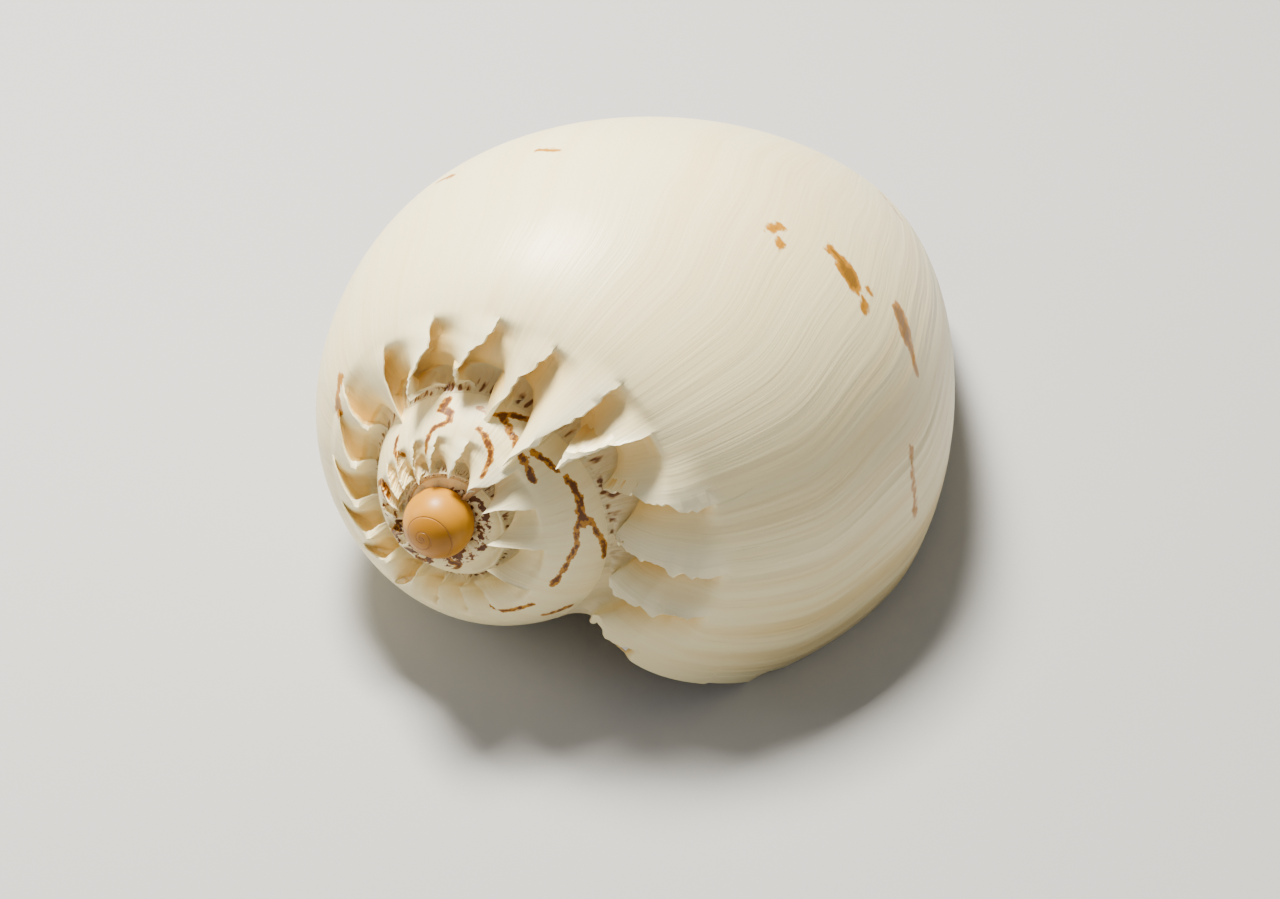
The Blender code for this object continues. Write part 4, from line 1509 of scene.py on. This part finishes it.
@dataclass(frozen=True)
class DomeFinish:
    """The protoconch: smooth orange, with the faint spiral of the first whorls."""

    dome: Protoconch
    light: tuple = colour(0.57, 0.24, 0.002)
    deep: tuple = colour(0.32, 0.12, 0.001)
    line: tuple = colour(0.34, 0.13, 0.03)
    first_whorl: float = 1.6
    per_turn: float = 3.1
    turned: float = 10.35
    inner_turns: Pair = (1.95, 1.55)
    inner_share: float = 0.55
    cloud_grain: Triple = (60.0, 3.0, 0.5)
    cloud: Pair = (0.3, 0.7)
    cloud_share: float = 0.35
    suture: Pair = (0.34, 0.08)  # millimetres from the line
    suture_ends: Pair = (15.0, 11.0)
    suture_share: float = 0.55
    relief: float = 0.00025
    roughness: float = 0.40
    coat: float = 0.04
    specular: float = 0.3

    def dress(self) -> bpy.types.Material:
        """Build the material.

        Returns:
            The finished material.
        """
        spiral = self.dome.spiral
        shader = Shader(Finish.PROTOCONCH, self.roughness, self.coat, specular=self.specular)
        place = shader.object_place()
        middle = Vector(spiral.to_world(0.0, self.dome.height, 0.0))
        offset = shader.vector("SUBTRACT", place, middle)
        up, out, side = (shader.vector("DOT_PRODUCT", offset, tuple(way))
                         for way in (spiral.dorsal, spiral.apical, (1.0, 0.0, 0.0)))
        turn = shader.math("DIVIDE", shader.math("ARCTAN2", up, side), math.tau)
        across = shader.math("SQRT", shader.plus(shader.times(up, up), shader.times(side, side)))
        slant = shader.times(shader.math("ARCTAN2", across, out), self.dome.radius)
        coils = shader.math("LOGARITHM", shader.math("DIVIDE", slant, self.first_whorl), self.per_turn)
        whorl = shader.math("FRACT", shader.plus(coils, turn, self.turned))
        nearest = shader.math("MINIMUM", whorl, shader.less(1.0, whorl))
        far = shader.times(nearest, shader.times(slant, math.log(self.per_turn)))
        inner = shader.ease(shader.plus(coils, turn), *self.inner_turns)
        cloud = shader.ease(shader.noise(place, *self.cloud_grain), *self.cloud)
        share = shader.plus(shader.times(inner, self.inner_share), shader.times(cloud, self.cloud_share))
        paint = shader.mix(share, self.light, self.deep)
        suture = shader.times(shader.ease(far, *self.suture), shader.ease(slant, *self.suture_ends))
        paint = shader.mix(shader.times(suture, self.suture_share), paint, self.line)
        return shader.cover(paint, shader.bump(shader.less(1.0, suture), self.relief))


# ---------------------------------------------------------------- the picture

@dataclass(frozen=True)
class Softbox:
    """A square or oblong light; its place and size are in metres."""

    name: str
    place: Triple
    size: Pair
    watts: float
    tint: Triple

    def add(self, aim: Triple) -> None:
        """Add the light, turned towards a point.

        Args:
            aim: The point, in metres.
        """
        data = bpy.data.lights.new(self.name, "AREA")
        data.shape = "RECTANGLE"
        data.size, data.size_y = self.size
        data.energy = self.watts
        data.color = self.tint
        lamp = bpy.data.objects.new(self.name, data)
        bpy.context.collection.objects.link(lamp)
        lamp.location = self.place
        lamp.rotation_euler = (Vector(aim) - Vector(self.place)).to_track_quat("-Z", "Y").to_euler()


@dataclass
class Studio:
    """The camera, the floor and soft light."""

    camera_place: Triple = (0.45786, -0.99612, 0.99644)
    look: Triple = (-0.31825, 0.67122, -0.66946)
    up: Triple = (-0.33334, 0.58185, 0.74184)
    lens: float = 115.39
    sensor: float = 36.0
    nearest: float = 0.01
    aim: Triple = (0.0, 0.0, 0.06)
    lights: tuple[Softbox, ...] = (
        Softbox("key", (-0.42, 0.14, 1.18), (0.34, 0.34), 66.0, (1.0, 0.955, 0.86)),
        Softbox("fill", (0.9, -1.0, 0.9), (0.9, 0.7), 2.0, (1.0, 0.97, 0.93)),
        Softbox("side", (-1.1, -0.5, 0.5), (0.6, 0.6), 6.0, (1.0, 0.985, 0.96)),
    )
    sky: tuple = colour(0.95, 0.97, 1.0)
    sky_strength: float = 0.24
    floor_size: float = 14.0
    floor_paint: tuple = colour(0.44, 0.44, 0.437)
    floor_roughness: float = 0.8

    def set_camera(self) -> None:
        """Place the camera and make it the scene's own."""
        data = bpy.data.cameras.new("camera")
        data.lens = self.lens
        data.sensor_width = self.sensor
        data.clip_start = self.nearest
        camera = bpy.data.objects.new("camera", data)
        bpy.context.collection.objects.link(camera)
        look = Vector(self.look).normalized()
        right = look.cross(Vector(self.up).normalized()).normalized()
        axes = (right, right.cross(look), -look, Vector(self.camera_place))
        rows = [[axis[row] for axis in axes] for row in range(3)]
        camera.matrix_world = Matrix([*rows, [0.0, 0.0, 0.0, 1.0]])
        bpy.context.scene.camera = camera

    def light(self) -> None:
        """Add the lights and a pale surrounding."""
        world = bpy.data.worlds.new("studio")
        bpy.context.scene.world = world
        world.use_nodes = True
        background = world.node_tree.nodes["Background"]
        background.inputs["Color"].default_value = self.sky
        background.inputs["Strength"].default_value = self.sky_strength
        for softbox in self.lights:
            softbox.add(self.aim)

    def lay_floor(self) -> None:
        """Add a plain pale floor."""
        bpy.ops.object.select_all(action="DESELECT")
        bpy.ops.mesh.primitive_plane_add(size=self.floor_size, location=(0.0, 0.0, 0.0))
        floor = bpy.context.object
        floor.name = "floor"
        material = bpy.data.materials.new("pale floor")
        material.use_nodes = True
        shader = material.node_tree.nodes["Principled BSDF"]
        shader.inputs["Base Color"].default_value = self.floor_paint
        shader.inputs["Roughness"].default_value = self.floor_roughness
        floor.data.materials.append(material)


@dataclass
class BalerShell:
    """The whole shell as one piece."""

    line: GrowthLine = field(default_factory=GrowthLine)
    sharp_from: float = 42.0  # degrees between faces from which an edge is sharp

    def __post_init__(self) -> None:
        """Lay out the parts that the shell is made of."""
        self.wall = Wall(self.line, Crown(self.line))
        self.columella = Columella(self.line.spiral)
        self.protoconch = Protoconch(self.line.spiral)

    def dress(self) -> None:
        """Make the finishes that the parts pick by name."""
        for finish in (Porcelain(), Lining(), Callus(), DomeFinish(self.protoconch)):
            finish.dress()

    def build(self) -> bpy.types.Object:
        """Build the parts and join them into one object.

        Returns:
            The shell.
        """
        parts = [self.wall.build_body(), self.wall.build_spire(), self.columella.build(),
                 self.protoconch.build()]
        for part in parts:
            LOG.info("%s: %d faces", part.name, len(part.data.polygons))
        bpy.ops.object.select_all(action="DESELECT")
        for part in parts:
            part.select_set(True)
        bpy.context.view_layer.objects.active = parts[0]
        bpy.ops.object.join()
        shell = bpy.context.object
        shell.name = "baler_shell"
        shell.data.name = "baler_shell"
        self._wear_flat(shell)
        bpy.ops.object.shade_smooth_by_angle(angle=math.radians(self.sharp_from))
        return shell

    @staticmethod
    def _wear_flat(shell: bpy.types.Object) -> None:
        """Wear the shell flat where it touches the ground."""
        for vertex in shell.data.vertices:
            vertex.co.z = max(vertex.co.z, 0.0)


def main() -> None:
    """Build the picture in order and report each piece."""
    logging.basicConfig(level=logging.INFO, format="%(name)s: %(message)s")
    studio = Studio()
    studio.set_camera()
    studio.light()
    studio.lay_floor()
    whole = BalerShell()
    whole.dress()
    shell = whole.build()
    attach(shell, "root")
    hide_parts(NODE)
    LOG.info("%s: %d faces", shell.name, len(shell.data.polygons))


if __name__ == "__main__":
    main()
